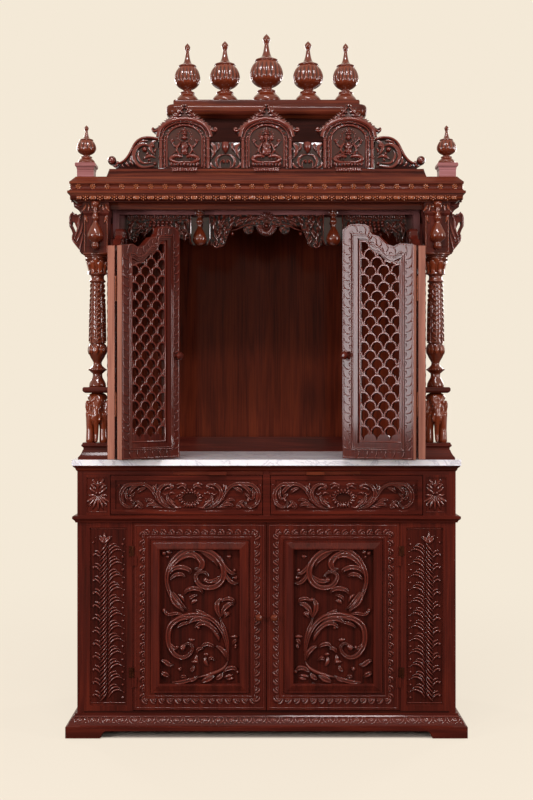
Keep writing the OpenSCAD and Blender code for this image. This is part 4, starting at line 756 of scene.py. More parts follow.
# ---- Drawers ---------------------------------------------------------------
# Solid fronts with a long sunk field: an oval shell is hollowed in its middle, ringed by petals, and
# leafy C-scrolls run out to both ends.
DRAWER_RUBBING = 0.3144
DRAWER_CENTRE = (780, 392)     # foot of the field under the shell, on the rubbing
drawer_strokes = [  # left half; the right half mirrors it
    ([(600, 352), (540, 330), (480, 285), (440, 215), (395, 155), (330, 122), (250, 122), (180, 128),
      (128, 175), (108, 240), (125, 305), (175, 345), (225, 335), (240, 300), (215, 280)], 26, 8, 0.8),
    ([(300, 128), (240, 150), (200, 195), (190, 235)], 26, 8, 0.6),
    ([(350, 158), (300, 175), (268, 210)], 26, 8, 0.7),
    ([(160, 150), (135, 200), (132, 260), (150, 300)], 16, 6, 0.8),
    ([(175, 160), (160, 210), (170, 260), (205, 262)], 20, 7, 0.7),
    ([(245, 215), (215, 235), (205, 262)], 20, 7, 0.9),
    ([(130, 300), (160, 335), (205, 345)], 22, 8, 0.9),
    ([(250, 285), (290, 300), (320, 345), (280, 350)], 20, 6, 0.8),
    ([(235, 355), (270, 330), (300, 290)], 18, 6, 0.8),
    ([(345, 285), (375, 270), (420, 285), (465, 320)], 20, 7, 0.8),
    ([(360, 335), (395, 315), (440, 320), (500, 345)], 26, 8, 0.9),
    ([(420, 350), (470, 345), (520, 352)], 18, 6, 0.9),
    ([(430, 130), (420, 165), (450, 185)], 18, 6, 0.8),
    ([(460, 118), (445, 150), (470, 200)], 16, 6, 0.9),
    ([(620, 130), (570, 120), (510, 140), (475, 195), (478, 250), (505, 300), (560, 345), (640, 362)], 26, 8,
     0.8),
    ([(500, 165), (540, 130), (590, 128), (618, 155), (590, 172)], 18, 7, 0.8),
    ([(530, 190), (560, 160), (600, 160)], 16, 6, 0.9),
    ([(560, 230), (575, 290), (630, 345)], 24, 8, 0.8),
    ([(590, 260), (610, 310), (660, 350)], 18, 7, 0.9),
    ([(500, 240), (530, 290), (590, 340)], 20, 7, 0.9),
    ([(520, 215), (545, 225), (575, 215)], 14, 5, 1.0),
    ([(650, 130), (690, 118), (735, 130), (740, 160)], 18, 6, 0.8),
    ([(660, 165), (700, 140), (740, 150)], 14, 5, 0.9),
    ([(640, 215), (600, 205), (580, 230)], 16, 6, 0.9),
    ([(640, 300), (610, 290), (590, 260)], 14, 6, 0.9),
    ([(700, 345), (650, 352), (620, 330)], 16, 6, 0.9),
    ([(110, 380), (200, 384), (330, 384)], 9, 4, 1.0),
    ([(330, 384), (560, 384), (780, 384)], 8, 4, 1.0),
]
drawer_beads = [(205, 262, 15), (215, 282, 13), (600, 150, 12), (560, 215, 9), (735, 160, 10), (95, 130, 9),
                (290, 345, 11), (655, 240, 10), (620, 265, 9), (455, 270, 9)]
drawer_mid = 11 + (457.5 - 11) / 2
for sign, side in ((-1, "left"), (1, "right")):
    bm = bmesh.new()
    for half in (1, -1):
        def laid(points):
            flat = on_panel(points, DRAWER_CENTRE, DRAWER_RUBBING)
            return [Vector((p.x * half, p.y)) for p in flat]
        for points, width, rise, cup in drawer_strokes:
            spine = through(laid(points), 2 * (len(points) - 1) + 8 if len(points) > 7 else 3 * (len(points) - 1))
            if width > 19:
                acanthus(bm, spine, width * DRAWER_RUBBING * 1.9, rise * 1.15, (0.4, 0.3))
            else:
                stroke(bm, spine, width * DRAWER_RUBBING * 1.6, rise * 1.2, (0.35, 0.3), 0.5, cup)
        for x, y, radius in drawer_beads:
            bead(bm, laid([(x, y)])[0], radius * DRAWER_RUBBING * 1.3, 8)
    for k in range(18):
        angle = 2 * math.pi * k / 18
        foot = Vector((math.cos(angle) * 26, 43 + math.sin(angle) * 17))
        leaflet(bm, foot, math.degrees(math.atan2(math.sin(angle) * 1.2, math.cos(angle))), 13, 8, 18, 8, 0.8)
        bead(bm, (math.cos(angle + 0.17) * 25, 43 + math.sin(angle + 0.17) * 16), 3.2, 8)
    for k in range(5):
        leaflet(bm, ((k - 2) * 6, 26), -90 + (k - 2) * 14, 16, 6.5, (k - 2) * 8, 7)
    bmesh.ops.transform(bm, matrix=shift(sign * drawer_mid, body_y + 4, DRAWER_FOOT + 10), verts=bm.verts)
    finish_piece(bm, f"drawer_{side}_scroll", carved, f"drawer_{side}")
    # a dark oval sheet in the middle of the shell: painted shade for its hollow
    bm = bmesh.new()
    for v in bmesh.ops.create_uvsphere(bm, u_segments=28, v_segments=12, radius=1.0)["verts"]:
        v.co = Vector((v.co.x * 26, -0.6 if v.co.y < 0 else v.co.y * 3, v.co.z * 17)) * MM
    bmesh.ops.transform(bm, matrix=shift(sign * drawer_mid, body_y + 4, DRAWER_FOOT + 53), verts=bm.verts)
    finish_piece(bm, f"drawer_{side}_shell_painted_shade", inner["x"], f"drawer_{side}")

# ---- Plinth ----------------------------------------------------------------
# A mitred moulding round the cabinet's foot; a band of lotus petals is cut on its sloping face.
PETAL = 42.0


def lotus_band(bm, length, petal, high, rise):
    """A row of hanging petals with a bud between each two, centred on X = 0, its top at Z = 0."""
    count = round(length / petal)
    step = length / count
    for k in range(count):
        x = -length / 2 + (k + 0.5) * step
        for way in (-1, 1):
            stroke(bm, through([(x + way * step * 0.43, -1), (x + way * step * 0.36, -high * 0.5),
                                (x + way * step * 0.06, -high * 0.93)], 5), high * 0.2, rise, (0.6, 0.3), 0.5)
            leaflet(bm, (x + way * step * 0.05, -high * 0.15), -90 + way * 38, high * 0.62, high * 0.24,
                    -way * 40, rise * 0.9, n=4)
        leaflet(bm, (x, -high * 0.1), -90, high * 0.7, high * 0.3, 2, rise, n=4)
        bead(bm, (x + step / 2, -high * 0.72), high * 0.17, rise)
        stroke(bm, through([(x - step * 0.36, -0.5), (x + step * 0.36, -0.5)], 1), high * 0.12, rise * 1.1,
               (1, 1))


slope = math.degrees(math.atan2(0.52 * 32, 22.1))
bm = bmesh.new()
half_wide, deep = 577.5, 578.0
for length, turn, at in ((2 * half_wide + 26, 0, (0, body_y - 9.4)),
                         (deep + 5, 90, (half_wide + 9.4, body_y + deep / 2 - 7.5)),
                         (deep + 5, -90, (-half_wide - 9.4, body_y + deep / 2 - 7.5))):
    row = bmesh.new()
    lotus_band(row, length, PETAL, 25, 3.0)
    place = (shift(at[0], at[1], 59) @ Matrix.Rotation(math.radians(turn), 4, "Z")
             @ Matrix.Rotation(math.radians(-slope), 4, "X"))
    add_cell(bm, row, place)
finish_piece(bm, "plinth_lotus_band", carved, "mandir")


# ---- Turned work -----------------------------------------------------------
# Turned on a lathe from one square of wood, then carved: gadroons round the finials' balls, leaves
# up the columns' shafts. The high rims are amber and the flutes dark: partly stain rubbed back, partly
# painted sheen on the rims and painted shade in the flutes.
def turned(bm, profile, place, steps=48, flutes=0, fluted=(0, 0), depth=0.08):
    """A turned piece about Z from (radius, height) points, with flutes cut between two heights."""
    cell = bmesh.new()
    crest = cell.verts.layers.float.new("crest")
    ring = [cell.verts.new((r, 0, z)) for r, z in profile]
    for a, b in zip(ring, ring[1:]):
        cell.edges.new((a, b))
    bmesh.ops.spin(cell, geom=cell.verts[:] + cell.edges[:], cent=(0, 0, 0), axis=(0, 0, 1), angle=2 * math.pi,
                   steps=steps, use_merge=True)
    bmesh.ops.remove_doubles(cell, verts=cell.verts, dist=0.001)
    low, high = fluted
    for v in cell.verts:
        tint = 0.55
        if flutes and low < v.co.z < high:
            s = (v.co.z - low) / (high - low)
            wave = abs(math.sin(math.atan2(v.co.y, v.co.x) * flutes / 2))
            much = min(1.0, 4 * s, 4 * (1 - s)) * (1 - wave ** 0.7)
            v.co.x *= 1 - depth * much
            v.co.y *= 1 - depth * much
            # flute bottoms take a low crest value and the ridges a high one: painted shade in the flutes, painted
            # sheen on the ridges, with the stain
            tint = 0.75 - 0.7 * much
        v[crest] = tint
        v.co *= MM
    add_cell(bm, cell, place)


def wrap(cell, radius_at, base):
    """Bends a flat relief round a turned piece: X runs round it at radius base, -Y stands out of it."""
    for v in cell.verts:
        r = radius_at(v.co.z / MM) * MM - v.co.y
        a = v.co.x / (base * MM)
        v.co.x, v.co.y = r * math.sin(a), -r * math.cos(a)


# ---- Columns ---------------------------------------------------------------
# Each column stands on an elephant: bell foot, beaded ring, carved vase, a shaft wrapped in four
# palm leaves, and a leaf capital under a square abacus.
COLUMN_X, COLUMN_Y = 521.5, front_y + 60
BELL, VASE, SHAFT, CAPITAL, ABACUS = 1064, 1141, 1201, 1393, 1463
column_profile = [(0, 0), (26, 0), (26, 5), (25, 12), (21, 20), (16, 29), (14.5, 36), (15, 40), (15, 42),
                  (20, 46), (25, 51), (26, 54), (25, 57), (20, 61), (15, 66), (13, 70), (12.5, 76), (16, 83),
                  (21, 91), (25, 100), (27, 111), (26.5, 122), (24, 131), (21, 135), (26, 136), (26, 137),
                  (24, 142), (23.6, 180), (22.5, 240), (20, 318), (20, 322), (25, 324), (25, 328), (21, 331),
                  (20, 340), (21, 344), (25, 347), (25, 350), (22, 354), (23, 362), (27, 378), (34, 394),
                  (36, 399), (0, 399)]


def column_radius(z):
    here = z - BELL
    for (r0, z0), (r1, z1) in zip(column_profile, column_profile[1:]):
        if z0 <= here <= z1:
            return r0 + (r1 - r0) * (here - z0) / max(0.001, z1 - z0)
    return 20


bm = bmesh.new()
turned(bm, column_profile, shift(0, 0, BELL), 48)
for quarter in range(4):
    leaves = bmesh.new()
    stroke(leaves, through([(0, SHAFT + 4), (0, CAPITAL - 66)], 4), 3.4, 3.4, (1, 0.6))
    for k in range(12):
        z = SHAFT + 5 + k * 15
        for way in (-1, 1):
            leaflet(leaves, (way * 0.6, z), 90 - way * 38, 20, 7.5, -way * 34, 3.6, 0.8)
    for way in (-1, 1):
        stroke(leaves, through([(way * 17, SHAFT), (way * 17, CAPITAL - 66)], 3), 2.2, 1.6, (1, 1))
    # leaves on the vase
    for k in (-1, 0, 1):
        leaflet(leaves, (k * 13.5, VASE + 24), 90, 34, 13, 4, 3.4, 0.65)
    # leaves of the capital, in two rows
    for k in (-0.5, 0.5):
        stroke(leaves, through([(k * 19, 1412), (k * 19, 1440), (k * 19, 1456)], 6), 18, 8, (0.7, 0.0), 0.45,
               0.7)
    stroke(leaves, through([(0, 1418), (0, 1446), (0, 1461)], 6), 15, 6, (0.6, 0.2), 0.6, 0.8)
    for k in range(6):
        bead(leaves, (-17 + k * 6.8, BELL + 54), 2.9, 3)
    wrap(leaves, column_radius, 22)
    add_cell(bm, leaves, Matrix.Rotation(math.pi / 2 * quarter, 4, "Z"))
abacus = bmesh.new()
crest = abacus.verts.layers.float.new("crest")
for half, z in ((34.4, 6), (40, 12)):
    for v in bmesh.ops.create_cube(abacus, size=2)["verts"]:
        v.co = Vector((v.co.x * half, v.co.y * half, ABACUS + (z - 6 if v.co.z < 0 else z))) * MM
        v[crest] = 0.5
add_cell(bm, abacus)
column = saved_mesh(bm)
bm = bmesh.new()
for sign in (-1, 1):
    add_copy(bm, column, shift(sign * COLUMN_X, COLUMN_Y, 0))
piece = finish_piece(bm, "columns_carved", turned_finish, "mandir")
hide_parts("columns")

# ---- Elephants -------------------------------------------------------------
# The pedestal of each column is carved as an elephant that faces the front, its trunk down to the
# moulded base. It is carved from the solid, so its parts run into each other.
def lump(cell, at, size, turn=(0, 0, 0), segments=20):
    """A rounded mass: an ellipsoid with its centre, half sizes and turn in degrees."""
    place = (shift(*at) @ Matrix.Rotation(math.radians(turn[2]), 4,
                                          "Z") @ Matrix.Rotation(math.radians(turn[1]), 4, "Y")
             @ Matrix.Rotation(math.radians(turn[0]), 4, "X") @ Matrix.Diagonal((*[s * MM for s in size], 1)))
    bmesh.ops.create_uvsphere(cell, u_segments=segments, v_segments=segments // 2 + 2, radius=1.0, matrix=place)


def limb(cell, points, radii, segments=14):
    """A rounded limb through points, made of a chain of short tapered drums with balls at the joints."""
    for (a, ra), (b, rb) in zip(zip(points, radii), list(zip(points, radii))[1:]):
        a, b = Vector(a), Vector(b)
        turn = (b - a).to_track_quat("Z", "Y").to_matrix().to_4x4()
        bmesh.ops.create_cone(cell, cap_ends=True, segments=segments, radius1=ra * MM, radius2=rb * MM,
                              depth=(b - a).length * MM, matrix=shift(*((a + b) / 2)) @ turn)
        lump(cell, b, (rb, rb, rb), segments=segments)


elephant = bmesh.new()
Z0 = 894
lump(elephant, (0, 4, Z0 + 92), (33, 34, 38))
lump(elephant, (0, 10, Z0 + 112), (29, 28, 34))
for way in (-1, 1):
    limb(elephant, [(way * 19, -13, Z0 + 88), (way * 20.5, -15, Z0 + 40), (way * 20.5, -16, Z0 + 6)],
         [16, 12.5, 13.5])
    limb(elephant, [(way * 19, 20, Z0 + 80), (way * 20.5, 22, Z0 + 36), (way * 20.5, 22, Z0 + 6)],
         [17, 12.5, 13.5])
    lump(elephant, (way * 9, -20, Z0 + 128), (13, 14, 16))                      # the two domes of the brow
    lump(elephant, (way * 25, -15, Z0 + 104), (11, 4, 27), (0, way * 12, -way * 28))   # ears
    lump(elephant, (way * 27, -17, Z0 + 84), (8, 3.5, 17), (0, way * 10, -way * 24))
    limb(elephant, [(way * 10, -32, Z0 + 88), (way * 13, -37, Z0 + 74), (way * 12, -38, Z0 + 66)],
         [4.5, 3.5, 2.2], 10)
lump(elephant, (0, -21, Z0 + 110), (20, 16, 24))
limb(elephant, [(0, -27, Z0 + 104), (0, -31, Z0 + 82), (0, -31, Z0 + 52), (0, -29, Z0 + 26), (0, -31, Z0 + 9),
                (0, -36, Z0 + 5)], [14, 11.5, 8.5, 6.8, 6, 5])
lump(elephant, (0, 0, Z0 + 138), (31, 31, 17))
body = bpy.data.meshes.new("elephant")
elephant.to_mesh(body)
elephant.free()
model = bpy.data.objects.new("elephant", body)
scene.collection.objects.link(model)
carve = model.modifiers.new("carved from one block", "REMESH")
carve.mode, carve.voxel_size = "VOXEL", 0.0022
ease = model.modifiers.new("rubbed smooth", "SMOOTH")
ease.iterations, ease.factor = 4, 0.5
shaped = bpy.data.meshes.new_from_object(model.evaluated_get(bpy.context.evaluated_depsgraph_get()))
bpy.data.objects.remove(model)
bm = bmesh.new()
for sign in (-1, 1):
    pair = bmesh.new()
    pair.from_mesh(shaped)
    crest = pair.verts.layers.float.new("crest")
    # the front half takes a higher crest value than the back, so it renders lighter: painted light on the side
    # that faces the front
    for v in pair.verts:
        v[crest] = 0.75 if v.co.y < 0 else 0.5
    for way in (-1, 1):                       # eyes
        eye = bmesh.new()
        bmesh.ops.create_uvsphere(eye, u_segments=10, v_segments=8, radius=2.1 * MM,
                                  matrix=shift(way * 13.5, -34, Z0 + 112))
        add_cell(pair, eye)
    add_cell(bm, pair, shift(sign * COLUMN_X, COLUMN_Y, 0))


def square_moulding(bm, x, y, profile):
    """A square block with a mitred moulded edge, from (half width, height) points."""
    cell = bmesh.new()
    crest = cell.verts.layers.float.new("crest")
    closed = [(0, profile[0][1])] + profile + [(0, profile[-1][1])]
    ring = [cell.verts.new((h * math.sqrt(2), 0, z)) for h, z in closed]
    for a, b in zip(ring, ring[1:]):
        cell.edges.new((a, b))
    bmesh.ops.spin(cell, geom=cell.verts[:] + cell.edges[:], cent=(0, 0, 0), axis=(0, 0, 1), angle=2 * math.pi,
                   steps=4, use_merge=True)
    bmesh.ops.rotate(cell, verts=cell.verts, cent=(0, 0, 0), matrix=Matrix.Rotation(math.pi / 4, 3, "Z"))
    bmesh.ops.remove_doubles(cell, verts=cell.verts, dist=0.001)
    for v in cell.verts:
        v.co *= MM
        v[crest] = 0.5
    add_cell(bm, cell, shift(x, y, 0))


ogee_base = [(53, 843), (53, 850), (51, 852), (47.5, 856), (43, 864), (40, 872), (38.5, 873), (38.5, 879),
             (41, 881), (44, 884), (44, 888), (41, 890), (41, 894)]
plate = [(33, 1046), (38, 1049), (41, 1053), (41, 1060), (38, 1064)]
steps = bmesh.new()
for sign in (-1, 1):
    square_moulding(steps, sign * COLUMN_X, COLUMN_Y, ogee_base)
    square_moulding(steps, sign * COLUMN_X, COLUMN_Y, plate)
piece = finish_piece(bm, "elephants", turned_finish, "mandir")
base = finish_piece(steps, "pedestal_mouldings", rosewood["x"], "mandir", smooth=False)
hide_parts("elephant_pedestals")
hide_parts("elephant_pedestals")


# ---- Cornice carving -------------------------------------------------------
# Two rows cut in the mitred cornice on its front and sides: small seven-petalled flowers in the
# hollow band, and under the lip buds with leaflets to both sides, over a line of fine beads.
def three_sides(bm, carve, half, front, back, out, z):
    """Lays a row of carving along the front and both sides of a mitred moulding."""
    for length, turn, x, y in ((2 * half, 0, 0, front - out),
                               (back - front, 90, half + out, (front + back) / 2),
                               (back - front, -90, -half - out, (front + back) / 2)):
        cell = bmesh.new()
        carve(cell, length)
        add_cell(bm, cell, shift(x, y, z) @ Matrix.Rotation(math.radians(turn), 4, "Z"))


FLOWER_PITCH, BEAD_PITCH = 44, 7.3


def flower_row(bm, length):
    """A row of small open flowers along X, centred on X = 0."""
    count = int((length - 20) / FLOWER_PITCH)
    for k in range(count + 1):
        x = (k - count / 2) * FLOWER_PITCH
        for q in range(7):
            a = q * 360 / 7
            leaflet(bm, round_about((x, 0), 3.4, a), a, 6.4, 5.2, 12, 6, 0.6, 0.7, 4)
        bead(bm, (x, 0), 3.2, 7)


def bud_row(bm, length):
    """A row of buds with leaflets between them along X, over a line of beads."""
    count = int((length - 62) / FLOWER_PITCH)
    for k in range(count + 1):
        x = (k - count / 2) * FLOWER_PITCH
        bead(bm, (x, 0), 3.9, 7)
        for a in range(30, 360, 60):
            leaflet(bm, round_about((x, 0), 5, a), a, 5.6, 4.4, 20, 4.5, 0.6, 0.4, 4)
        for way in (-1, 1):
            for j in range(3):
                at = x + way * (12 + j * 5.2)
                leaflet(bm, (at, -1), 90 - way * 38, 9.5, 4.4, way * 30, 4, 0.6, 0.45, 4)
                leaflet(bm, (at, 1), -90 + way * 38, 9.5, 4.4, -way * 30, 4, 0.6, 0.45, 4)
    for k in range(round(length / BEAD_PITCH)):
        bead(bm, (-length / 2 + (k + 0.5) * BEAD_PITCH, 12.2), 2.5, 3.4)


CORNICE = 1629
marble_half, back_y = 592.5, front_y + 593
bm = bmesh.new()
three_sides(bm, flower_row, marble_half, front_y, back_y, 0.4, CORNICE + 44.5)
# a thin fillet along the cornice's top arris in the lighter amber: partly a painted highlight line
three_sides(bm, lambda row, length: rod(row, (-length / 2, 0), (length / 2, 0), 3, 1.8), marble_half, front_y,
            back_y, 0, CORNICE + 58)
finish_piece(bm, "cornice_flowers", glint_amber_carved, "mandir")
bm = bmesh.new()
three_sides(bm, bud_row, marble_half, front_y, back_y, 2.6, CORNICE + 11)
finish_piece(bm, "cornice_buds", glint_amber_carved, "mandir")

# ---- Column tops and brackets ----------------------------------------------
# A square block over each capital with a turned drop in front of it, and on the outer side a thin
# pierced bracket whose acanthus leaf curls down to a point.
DROP = [(0, 1483), (7, 1484.5), (11, 1490), (11.5, 1498), (8.5, 1505), (13, 1509), (20.5, 1514), (24, 1522),
        (23.5, 1531), (20, 1541), (14.5, 1552), (8.5, 1562), (5.5, 1567), (6.5, 1571), (9.5, 1575),
        (10.5, 1581), (8.5, 1588), (5.5, 1594), (5.2, 1600), (7.5, 1604), (5.4, 1608), (9, 1613), (12, 1620),
        (12, 1628), (0, 1628)]
bm = bmesh.new()
blocks = bmesh.new()
for way in (-1, 1):
    profile = [(38, 1475), (38, 1492), (36.5, 1494), (36.5, 1588), (38, 1591), (40, 1596), (40, 1628.5)]
    square_moulding(blocks, way * COLUMN_X, COLUMN_Y, profile)
    turned(bm, DROP, shift(way * COLUMN_X, COLUMN_Y - 54, 0), 40)
    face = bmesh.new()
    for side in (-1, 1):
        stroke(face, [Vector((side * 34, z)) for z in (1478, 1520, 1560, 1590)], 3.2, 3.2, (1, 1))
        for k in range(3):
            leaflet(face, (side * (30 - k * 8), 1624), -90 + side * (10 - k * 16), 30 - k * 4, 9,
                    side * (60 - k * 20), 7)
        stroke(face, curl((side * 14, 1600), 90 + side * 100, 34, side * 190, 0.8, 12), 6, 7, (0.6, 0.5))
        leaflet(face, (side * 30, 1588), -90, 26, 8, side * -40, 6)
    add_cell(bm, face, shift(way * COLUMN_X, COLUMN_Y - 37, 0))
piece = finish_piece(bm, "column_top_drops", turned_finish, "mandir")
base = finish_piece(blocks, "column_top_blocks", rosewood["z"], "mandir", smooth=False)
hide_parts("column_tops")
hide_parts("column_tops")

bm = bmesh.new()
leaf = bmesh.new()
for spine, wide in (([(8, 32), (24, 38), (36, 31), (43, 44), (42, 66), (36, 84)], 6),
                    ([(3, 24), (14, 44), (16, 66), (24, 96), (33, 100)], 8),
                    ([(3, 60), (8, 84), (17, 108), (22, 122)], 8),
                    ([(2, 92), (6, 114), (11, 134), (12, 150)], 7),
                    ([(35, 96), (34, 112), (24, 124), (14, 126)], 7), ([(12, 52), (18, 58), (17, 76)], 5),
                    ([(3, 5), (16, 8), (29, 5)], 6), ([(3, 14), (8, 26), (6, 38)], 6),
                    ([(28, 100), (26, 112), (18, 116)], 4)):
    for face in (1, -1):
        one = bmesh.new()
        stroke(one, through([(x, -z) for x, z in spine], 3 * len(spine)), wide, 5.5, (0.5, 0.1), 0.45, 0.75)
        bmesh.ops.transform(one, matrix=Matrix.Diagonal((1, face, 1, 1)) @ shift(0, -14, 0), verts=one.verts)
        add_cell(leaf, one)
for x, z in ((31, -106), (9, -46), (26, -34)):
    bead(leaf, (x, z), 4, 18)
bracket = saved_mesh(leaf)
for way in (-1, 1):
    add_copy(bm, bracket, shift(way * 561.5, COLUMN_Y, CORNICE), way < 0)
finish_piece(bm, "side_bracket_acanthus", carved, "mandir")

# ---- Carving under the header ----------------------------------------------
# Boards let in under the frame's header: vines with grapes beside the pendants, and in the middle an
# acanthus valance with a half-round rosette. A turned drop hangs on each pendant post.
carve_y, HEADER = front_y + 142, 1607
bm = bmesh.new()
vine = bmesh.new()
for k in range(26):
    leaflet(vine, (246 + k * 7.4, HEADER - 2), -62, 13, 4.6, -18, 4.5, 0.8, 0.6, 5)
stroke(vine, [Vector((x, HEADER - 13)) for x in (245, 310, 380, 437)], 2.4, 4, (1, 1))
for row, z in enumerate((-24, -34, -44, -53)):                             # a bunch of grapes
    for x in range(300 + row * 8, 372 - row * 8, 13):
        bead(vine, (x + (row % 2) * 6.5, HEADER + z), 6.6, 12)
for x, z, heading, turn, long, wide in (
        (420, -18, -80, 70, 44, 12), (428, -30, -95, 40, 52, 11), (408, -20, -110, -80, 46, 12),
        (395, -36, -70, 90, 40, 10), (434, -44, -92, -30, 44, 9), (412, -52, -60, -100, 36, 10),
        (286, -20, -100, -70, 40, 12), (272, -26, -80, 60, 46, 11), (258, -22, -96, -40, 50, 11),
        (251, -40, -90, 30, 48, 9), (266, -50, -110, -70, 32, 9), (296, -46, -50, 80, 34, 9),
        (380, -24, -40, -90, 34, 10), (384, -50, -100, 60, 28, 9), (372, -40, -60, -60, 24, 8),
        (304, -30, -140, 90, 26, 8), (340, -58, -90, 40, 16, 9), (326, -56, -110, -40, 18, 8),
        (356, -56, -70, 40, 18, 8)):
    leaflet(vine, (x, HEADER + z), heading, long, wide, turn, 9, 0.6)
    leaflet(vine, (x + 2, HEADER + z - 2), heading + turn * 0.35, long * 0.6, wide * 0.5, turn * 0.7, 11, 1.0)
for x, z, turn in ((424, -66, 330), (262, -70, -330), (398, -54, -300), (288, -56, 300)):
    stroke(vine, curl((x, HEADER + z), 200, 44, turn, 1.1, 16), 4.6, 9, (0.8, 0.7))
vines = saved_mesh(vine)
for way in (-1, 1):
    add_copy(bm, vines, shift(0, carve_y, 0), way < 0)
finish_piece(bm, "spandrel_vines", carved, "mandir")

bm = bmesh.new()
valance = bmesh.new()
for k in range(15):                                                        # half-round rosette
    a = 180 + 12.86 * k
    leaflet(valance, round_about((0, 1572), 12, a), a, 23, 8.4, 0.1, 9, 0.7, 0.6, 6)
ring(valance, (0, 1572), 10, 3, 11)
bead(valance, (0, 1572), 7.5, 12)
for a in range(10, 180, 20):                                               # shell over it
    leaflet(valance, round_about((0, 1590), 7, a, 4 / 7), a, 27, 8, 0.1, 11, 0.65, 0.6, 6)
for way in (-1, 1):
    vine_line = [(way * 34, 1576), (way * 52, 1577), (way * 70, 1572), (way * 92, 1562), (way * 112, 1556)]
    stroke(valance, through(vine_line, 14), 5, 8, (0.6, 0.5))
    stroke(valance, curl((way * 112, 1560), 90 + way * 90 + 180, 46, way * -300, 1.0, 16), 7, 10, (0.8, 0.5))
    bead(valance, (way * 107, 1547), 6, 12)
    for x, z, aim, turn, long, wide in (
            (24, 1602, -30, 60, 40, 12), (40, 1600, -20, -50, 36, 10), (58, 1600, -35, 70, 34, 11),
            (78, 1600, -60, 60, 32, 10), (96, 1602, -30, -60, 34, 11), (70, 1586, -20, -40, 36, 9),
            (104, 1590, -60, -50, 34, 10), (132, 1602, -80, 50, 40, 12), (150, 1602, -95, -40, 46, 12),
            (164, 1600, -92, 30, 50, 11), (130, 1576, -80, -60, 36, 11), (146, 1566, -95, 60, 42, 12),
            (162, 1560, -92, -30, 44, 11), (140, 1542, -80, -70, 32, 10), (158, 1530, -100, 60, 26, 10)):
        heading = aim if way > 0 else 180 - aim
        leaflet(valance, (way * x, z), heading, long, wide, way * turn, 9, 0.6)
        leaflet(valance, (way * (x + 1), z - 2), heading + way * turn * 0.3, long * 0.6, wide * 0.45,
                way * turn * 0.6, 11, 1.0)
    stroke(valance, curl((way * 168, 1520), -90, 40, way * -250, 0.8, 14), 6, 9, (0.8, 0.6))
add_cell(bm, valance, shift(0, carve_y, 0))
finish_piece(bm, "valance_rosette", carved, "mandir")

PENDANT = [(0, 1506), (9, 1508), (17, 1513), (21.5, 1521), (22, 1530), (18.5, 1541), (13, 1552), (8, 1561),
           (6, 1568), (7.5, 1574), (10.5, 1580), (9.5, 1587), (6, 1593), (6, 1598), (11, 1602), (12, 1607),
           (8.5, 1612), (14, 1617), (14, 1626), (0, 1626)]
bm = bmesh.new()
posts = bmesh.new()
for way in (-1, 1):
    plate = bmesh.new()
    outline = [(-31, 1607), (-31, 1522), (-27, 1513), (-20, 1511), (20, 1511), (27, 1513), (31, 1522),
               (31, 1607)]
    board(plate, outline, 0, 24, 1.0, 0.1)
    for side in (-1, 1):
        stroke(plate, through([(side * 30, 1606), (side * 30, 1560), (side * 30, 1526), (side * 24, 1513)], 12),
               5, 7, (1, 0.7))
    add_cell(posts, plate, shift(way * 209, carve_y, 0))
    turned(bm, PENDANT, shift(way * 209, front_y + 137 - 27, 0), 40)
    cap = bmesh.new()
    board(cap, [(-14, 1604), (14, 1604), (14, 1626), (-14, 1626)], 0, 27, 1.0, 0.3)
    add_cell(bm, cap, shift(way * 209, front_y + 137 - 30, 0))
piece = finish_piece(bm, "pendant_drops", turned_finish, "mandir")
base = finish_piece(posts, "pendant_posts", carved, "mandir", smooth=False)
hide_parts("pendants")
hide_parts("pendants")


# ---- Folding leaves --------------------------------------------------------
# Four lattice leaves on brass butt hinges, opened and folded back. Each has a fillet and a roll of
# overlapping leaves round its rim, and the webs of its fish-scale fretwork are rounded over.
LEAF_W, LEAF_LOW, LEAF_DOME, LEAF_HIGH = 228.95, 636, 707, 692
GAP, BARREL, LEAF_T = 3.0, 4.0, 22.0
rise = LEAF_DOME - LEAF_LOW
leaf_top = [(0, LEAF_LOW), (0.18 * LEAF_W, LEAF_LOW + 6), (0.27 * LEAF_W, LEAF_LOW - 2),
            (0.37 * LEAF_W, LEAF_LOW + 5), (0.44 * LEAF_W, LEAF_LOW + 20),
            (0.49 * LEAF_W, LEAF_LOW + rise * 0.44), (0.57 * LEAF_W, LEAF_LOW + rise * 0.5),
            (0.61 * LEAF_W, LEAF_LOW + rise * 0.65), (0.62 * LEAF_W, LEAF_LOW + rise * 0.86),
            (0.67 * LEAF_W, LEAF_DOME - 3), (0.78 * LEAF_W, LEAF_DOME), (0.9 * LEAF_W, LEAF_DOME),
            (LEAF_W, LEAF_HIGH)]


def top_line(drop, x0, x1, n=40):
    """The shaped top, dropped into the leaf and cut off between two places across it."""
    line = [p - Vector((0, drop)) for p in through(leaf_top, n)]
    return [p for p in line if x0 <= p.x <= x1]


def rim_line(inset, drop, foot):
    """A line round the leaf at one distance from its edges."""
    top = top_line(drop, inset, LEAF_W - inset)
    up = [Vector((inset, z)) for z in (foot, foot + 150, foot + 300, foot + 450, top[0].y)]
    down = [Vector((LEAF_W - inset, z)) for z in (top[-1].y, foot + 450, foot + 300, foot + 150, foot)]
    return up + top + down + up[:1]


face = bmesh.new()
for inset, drop, foot, wide, high in ((4, 4, 4, 3.2, 1.0), (29, 29.5, 29, 3.6, 3.2), (34, 35, 34, 2.5, 2.2)):
    stroke(face, rim_line(inset, drop, foot), wide, high, (1, 1))


